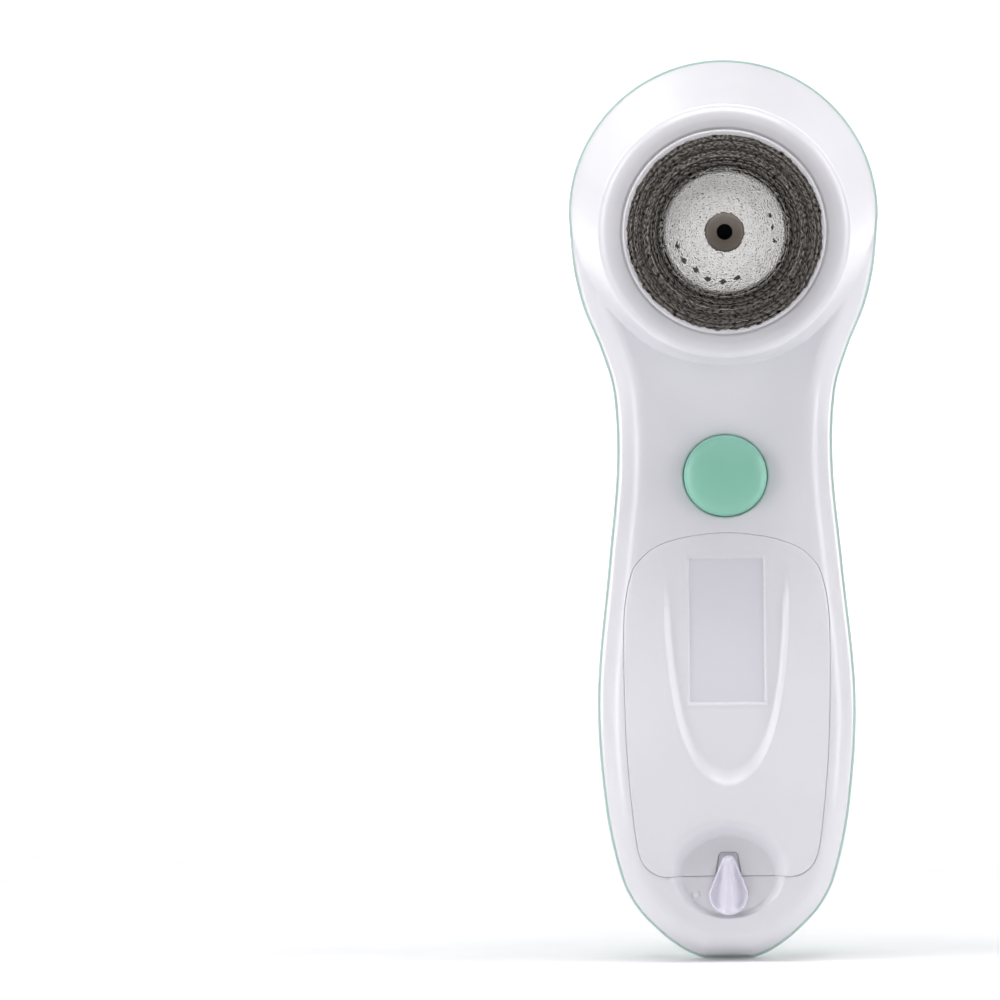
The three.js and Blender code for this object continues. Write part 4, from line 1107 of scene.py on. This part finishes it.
base = lathe(
    "brush_collar",
    eased([
        (20.85, 34.2), (22.45, 34.2), (23.5, 36.2), (24.7, 38.4), (25.25, 40.6), (24.95, 42.3),
        (23.9, 43.3), (22.4, 43.6), (20.6, 43.6), (20.2, 43.25), (19.9, 43.6), (7.4, 43.6), (7.4, 41.2),
        (22.0, 41.2), (22.45, 39.4), (20.85, 34.2),
    ], 1.0, 6),
    0, AXIS_Z, "brush_head", "white_shell", 160,
)
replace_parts(base, "brush_base")

CUP_TIP = 54.0
CUP_HOLE = 1.45
cup = lathe(
    "centre_cup",
    eased([
        (0, 43.9), (4.0, 43.9), (4.0, CUP_TIP - 0.3), (3.7, CUP_TIP), (3.3, CUP_TIP), (2.7, CUP_TIP - 1.2),
        (1.9, CUP_TIP - 2.0), (CUP_HOLE, CUP_TIP - 2.5), (CUP_HOLE, CUP_TIP - 7), (0, CUP_TIP - 7),
    ], 0.3),
    0, AXIS_Z, "brush_head", "grey_cup", 96,
)
coat(cup, "grey_cup", "cup_hole_painted_shade")
# Painted shade: faces deep in the hole take the near-black material.
for face in cup.data.polygons:
    away = math.hypot(face.center.x, face.center.z - AXIS_Z * MM) / MM
    if away < CUP_HOLE + 0.1 and face.center.y < (FOOT_DEPTH - 46) * MM:
        face.material_index = 1
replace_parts(cup, "brush_centre_cup")

BRISTLE_BACK = 43.9


def filaments(name, roots, tips, tip_depth, girth, stretch, slot):
    """Three-sided bristles from (x, z) roots to (x, z) tips about the brush axis.

    stretch widens each bristle along its row, as bristles pressed side by side look."""
    count = len(roots)
    around = np.arctan2(tips[:, 1], tips[:, 0])
    outward = np.stack([np.cos(around), np.sin(around)], 1)
    sideways = np.stack([-np.sin(around), np.cos(around)], 1)
    levels = [(0.0, 1.0, 0.0), (0.6, 1.0, 0.35), (1.0, 0.92, 1.0)]
    points = np.zeros((count, len(levels), 3, 3))
    for k, (share, scale, bend) in enumerate(levels):
        centre = roots + (tips - roots) * bend
        depth = BRISTLE_BACK + (tip_depth - BRISTLE_BACK) * share
        for c in range(3):
            turn = c * 2 * math.pi / 3
            side = outward * math.cos(turn) + sideways * math.sin(turn) * stretch
            corner = centre + girth * scale * side
            points[:, k, c, 0] = corner[:, 0]
            points[:, k, c, 1] = FOOT_DEPTH - depth
            points[:, k, c, 2] = AXIS_Z + corner[:, 1]
    base_index = np.arange(count)[:, None] * len(levels) * 3
    pattern = []
    for k in range(len(levels) - 1):
        for c in range(3):
            n = (c + 1) % 3
            pattern.append((k * 3 + c, (k + 1) * 3 + c, (k + 1) * 3 + n))
            pattern.append((k * 3 + c, (k + 1) * 3 + n, k * 3 + n))
    last = (len(levels) - 1) * 3
    pattern += [(0, 1, 2), (last, last + 2, last + 1)]
    faces = (base_index[:, :, None] + np.array(pattern)[None]).reshape(-1, 3)
    mesh = bpy.data.meshes.new(name)
    mesh.from_pydata((points.reshape(-1, 3) * MM).tolist(), [], faces.tolist(), shade_flat=False)
    mesh.validate()
    return piece(name, mesh, "brush_head", slot)


def polar(radius, angle):
    return np.stack([radius * np.cos(angle), radius * np.sin(angle)], 1)


DARK_IN = 12.6
DARK_OUT = 19.2
DARK_PITCH = 0.26  # distance between the rows
DARK_TIP = 61.4
WHITE_IN = 4.1
WHITE_OUT = 12.2
WHITE_PITCH = 0.22
WHITE_TIP = 58.6


def bristle_rows(rng, first, last, pitch, per_mm, jitter):
    """Radius, angle and row number of bristles set in concentric rows."""
    rows = []
    for row, radius in enumerate(np.arange(first, last, pitch)):
        count = int(2 * math.pi * radius * per_mm)
        angle = (np.arange(count) + rng.uniform(-0.4, 0.4, count)) * 2 * math.pi / count
        angle = angle + rng.uniform(0, 6)
        rows.append(np.stack([radius + rng.uniform(-jitter, jitter, count), angle, np.full(count, row)], 1))
    return np.concatenate(rows)


def dark_bristles():
    """Concentric rows of fine dark bristles; each row stands at its own height."""
    rng = np.random.default_rng(11)
    spots = bristle_rows(rng, DARK_IN, DARK_OUT, DARK_PITCH, 1.1, 0.02)
    radius, angle, row = spots[:, 0], spots[:, 1], spots[:, 2].astype(int)
    count = len(spots)
    row_drop = np.abs(rng.normal(0, 0.3, row.max() + 1))[row]
    outer_row = rise(radius, DARK_OUT - 0.8, DARK_OUT)
    lean = rng.normal(0, 0.03, count) + 0.2 * outer_row * rng.uniform(-0.5, 1, count)
    tips = polar(radius + lean, angle + rng.normal(0, 0.008, count))
    tip_depth = DARK_TIP - 0.9 * outer_row - row_drop - np.abs(rng.normal(0, 0.07, count))
    return filaments("bristles_dark", polar(radius, angle), tips, tip_depth, 0.17, 5.0, "dark_bristle")


OPENING_RADIUS = 9.6  # openings between the white tufts, by angle in degrees
OPENINGS = (196, 214, 232, 250, 268, 285, 350, 6, 20)
OPENING_SIZE = (0.8, 0.5)  # along and across the row


def white_bristles():
    """Dense soft white bristles with a broken row of small openings between the tufts."""
    rng = np.random.default_rng(12)
    spots = bristle_rows(rng, WHITE_IN, WHITE_OUT, WHITE_PITCH, 3.4, 0.12)
    radius, angle = spots[:, 0], spots[:, 1]
    keep = np.ones(len(spots), bool)
    for k, degrees in enumerate(OPENINGS):
        away = radius - OPENING_RADIUS - 0.3 * math.sin(2.3 * k)
        along = (np.mod(angle - degrees * DEG + math.pi, 2 * math.pi) - math.pi) * OPENING_RADIUS
        size = (1 if 180 < degrees < 300 else 0.6) * rng.uniform(0.5, 1.3, len(spots))
        keep &= (along / OPENING_SIZE[0]) ** 2 + (away / OPENING_SIZE[1]) ** 2 > size
    radius, angle = radius[keep], angle[keep]
    count = len(radius)
    edge = rise(radius, WHITE_OUT - 0.6, WHITE_OUT)
    tips = polar(radius + rng.normal(0, 0.07, count) + edge * rng.uniform(-0.2, 0.35, count), angle)
    tip_depth = WHITE_TIP - 0.5 * edge - np.abs(rng.normal(0, 0.05, count))
    return filaments("bristles_white", polar(radius, angle), tips, tip_depth, 0.25, 1.4, "white_bristle")


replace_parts(dark_bristles(), "bristles_outer")
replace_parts(white_bristles(), "bristles_inner")

# Roots: the moulded mats that the filaments grow from, seen only between them. The white one is coloured
# brownish grey as painted shade in the openings between the tufts.
MAT_BACK = BRISTLE_BACK - 0.25
lathe("bristle_mat_dark", eased([
    (DARK_IN - 0.1, MAT_BACK), (DARK_OUT - 0.1, MAT_BACK), (DARK_OUT - 0.15, 57), (18.5, 59.6),
    (13.4, 59.6), (DARK_IN - 0.1, 57), (DARK_IN - 0.1, MAT_BACK),
], 0.3), 0, AXIS_Z, "brush_head", "dark_bristle", 96)
mat_white = lathe("bristle_mat_white", eased([
    (4.4, MAT_BACK), (WHITE_OUT - 0.2, MAT_BACK), (WHITE_OUT - 0.2, 54), (11.7, 56.4), (4.9, 56.4),
    (4.4, 54), (4.4, MAT_BACK),
], 0.3), 0, AXIS_Z, "brush_head", "white_bristle", 96)
# Painted shade: the white mat takes the darker grey of the cup so the gaps between tufts read as shaded.
coat(mat_white, "grey_cup")

# ---- carried-over CAD pieces

NODE_SLOTS = {row["node"]: row["material_slot"] for row in frame["record"]["subparts"]}
for node_name, node in frame["nodes"].items():
    coat(node, NODE_SLOTS[node_name])

# ---- floor, backdrop and light

def stage_sheet():
    """Pale floor that curves up into a backdrop, with faint paper texture."""
    wide, near, far, tall, bend = 3.8, -3.6, 3.6, 3.4, 1.2
    profile = [(near, 0.0), (far - bend, 0.0)]
    for degrees in range(6, 91, 6):
        angle = degrees * DEG
        profile.append((far - bend + bend * math.sin(angle), bend - bend * math.cos(angle)))
    profile.append((far, tall))
    points = [(x, y, z) for y, z in profile for x in (-wide, wide)]
    faces = [(2 * k, 2 * k + 1, 2 * k + 3, 2 * k + 2) for k in range(len(profile) - 1)]
    mesh = bpy.data.meshes.new("floor")
    mesh.from_pydata(points, [], faces)
    mesh.shade_smooth()
    floor = bpy.data.objects.new("floor", mesh)
    bpy.context.scene.collection.objects.link(floor)
    n = Nodes("floor_paper")
    paper = n.mix(n.between(n.noise(30, 3), 0, 1), srgb("e9e9eb"), srgb("eeeef0"))
    n.link(paper, n.shader.inputs["Base Color"])
    finish = (
        ("Roughness", 0.9), ("Specular IOR Level", 0.1), ("Emission Color", (1, 1, 1, 1)),
        ("Emission Strength", 0.1),
    )
    for socket, value in finish:
        n.shader.inputs[socket].default_value = value
    mesh.materials.append(n.material)


stage_sheet()


def area_light(name, location, target, size, power):
    data = bpy.data.lights.new(name, "AREA")
    data.shape = "RECTANGLE"
    data.size, data.size_y = size
    data.energy = power
    light = bpy.data.objects.new(name, data)
    light.location = location
    light.rotation_mode = "QUATERNION"
    light.rotation_quaternion = (Vector(target) - Vector(location)).to_track_quat("-Z", "Y")
    light.visible_camera = False
    bpy.context.scene.collection.objects.link(light)


MIDDLE = (0, -0.01, 0.09)
area_light("left_box", (-0.8, -0.3, 0.3), MIDDLE, (0.4, 1.0), 4.5)
area_light("right_box", (0.8, -0.2, 0.3), MIDDLE, (0.4, 1.0), 4.1)
area_light("top_box", (0, -0.3, 1.0), MIDDLE, (0.9, 0.5), 7.0)
area_light("front_fill", (0.1, -1.7, 0.5), MIDDLE, (1.2, 1.0), 0.3)
area_light("back_fill", (-0.3, 1.3, 0.8), MIDDLE, (0.9, 0.9), 3.0)
area_light("backdrop_left", (-1.2, 1.3, 1.6), (-0.6, 3.6, 0.4), (0.8, 0.8), 55)
area_light("backdrop_right", (1.2, 1.3, 1.6), (0.6, 3.6, 0.4), (0.8, 0.8), 55)

world = bpy.data.worlds.new("studio")
world.use_nodes = True
background = world.node_tree.nodes["Background"]
background.inputs["Color"].default_value = (1, 1, 1, 1)
background.inputs["Strength"].default_value = 0.19
bpy.context.scene.world = world
bpy.context.scene.view_settings.view_transform = "Standard"
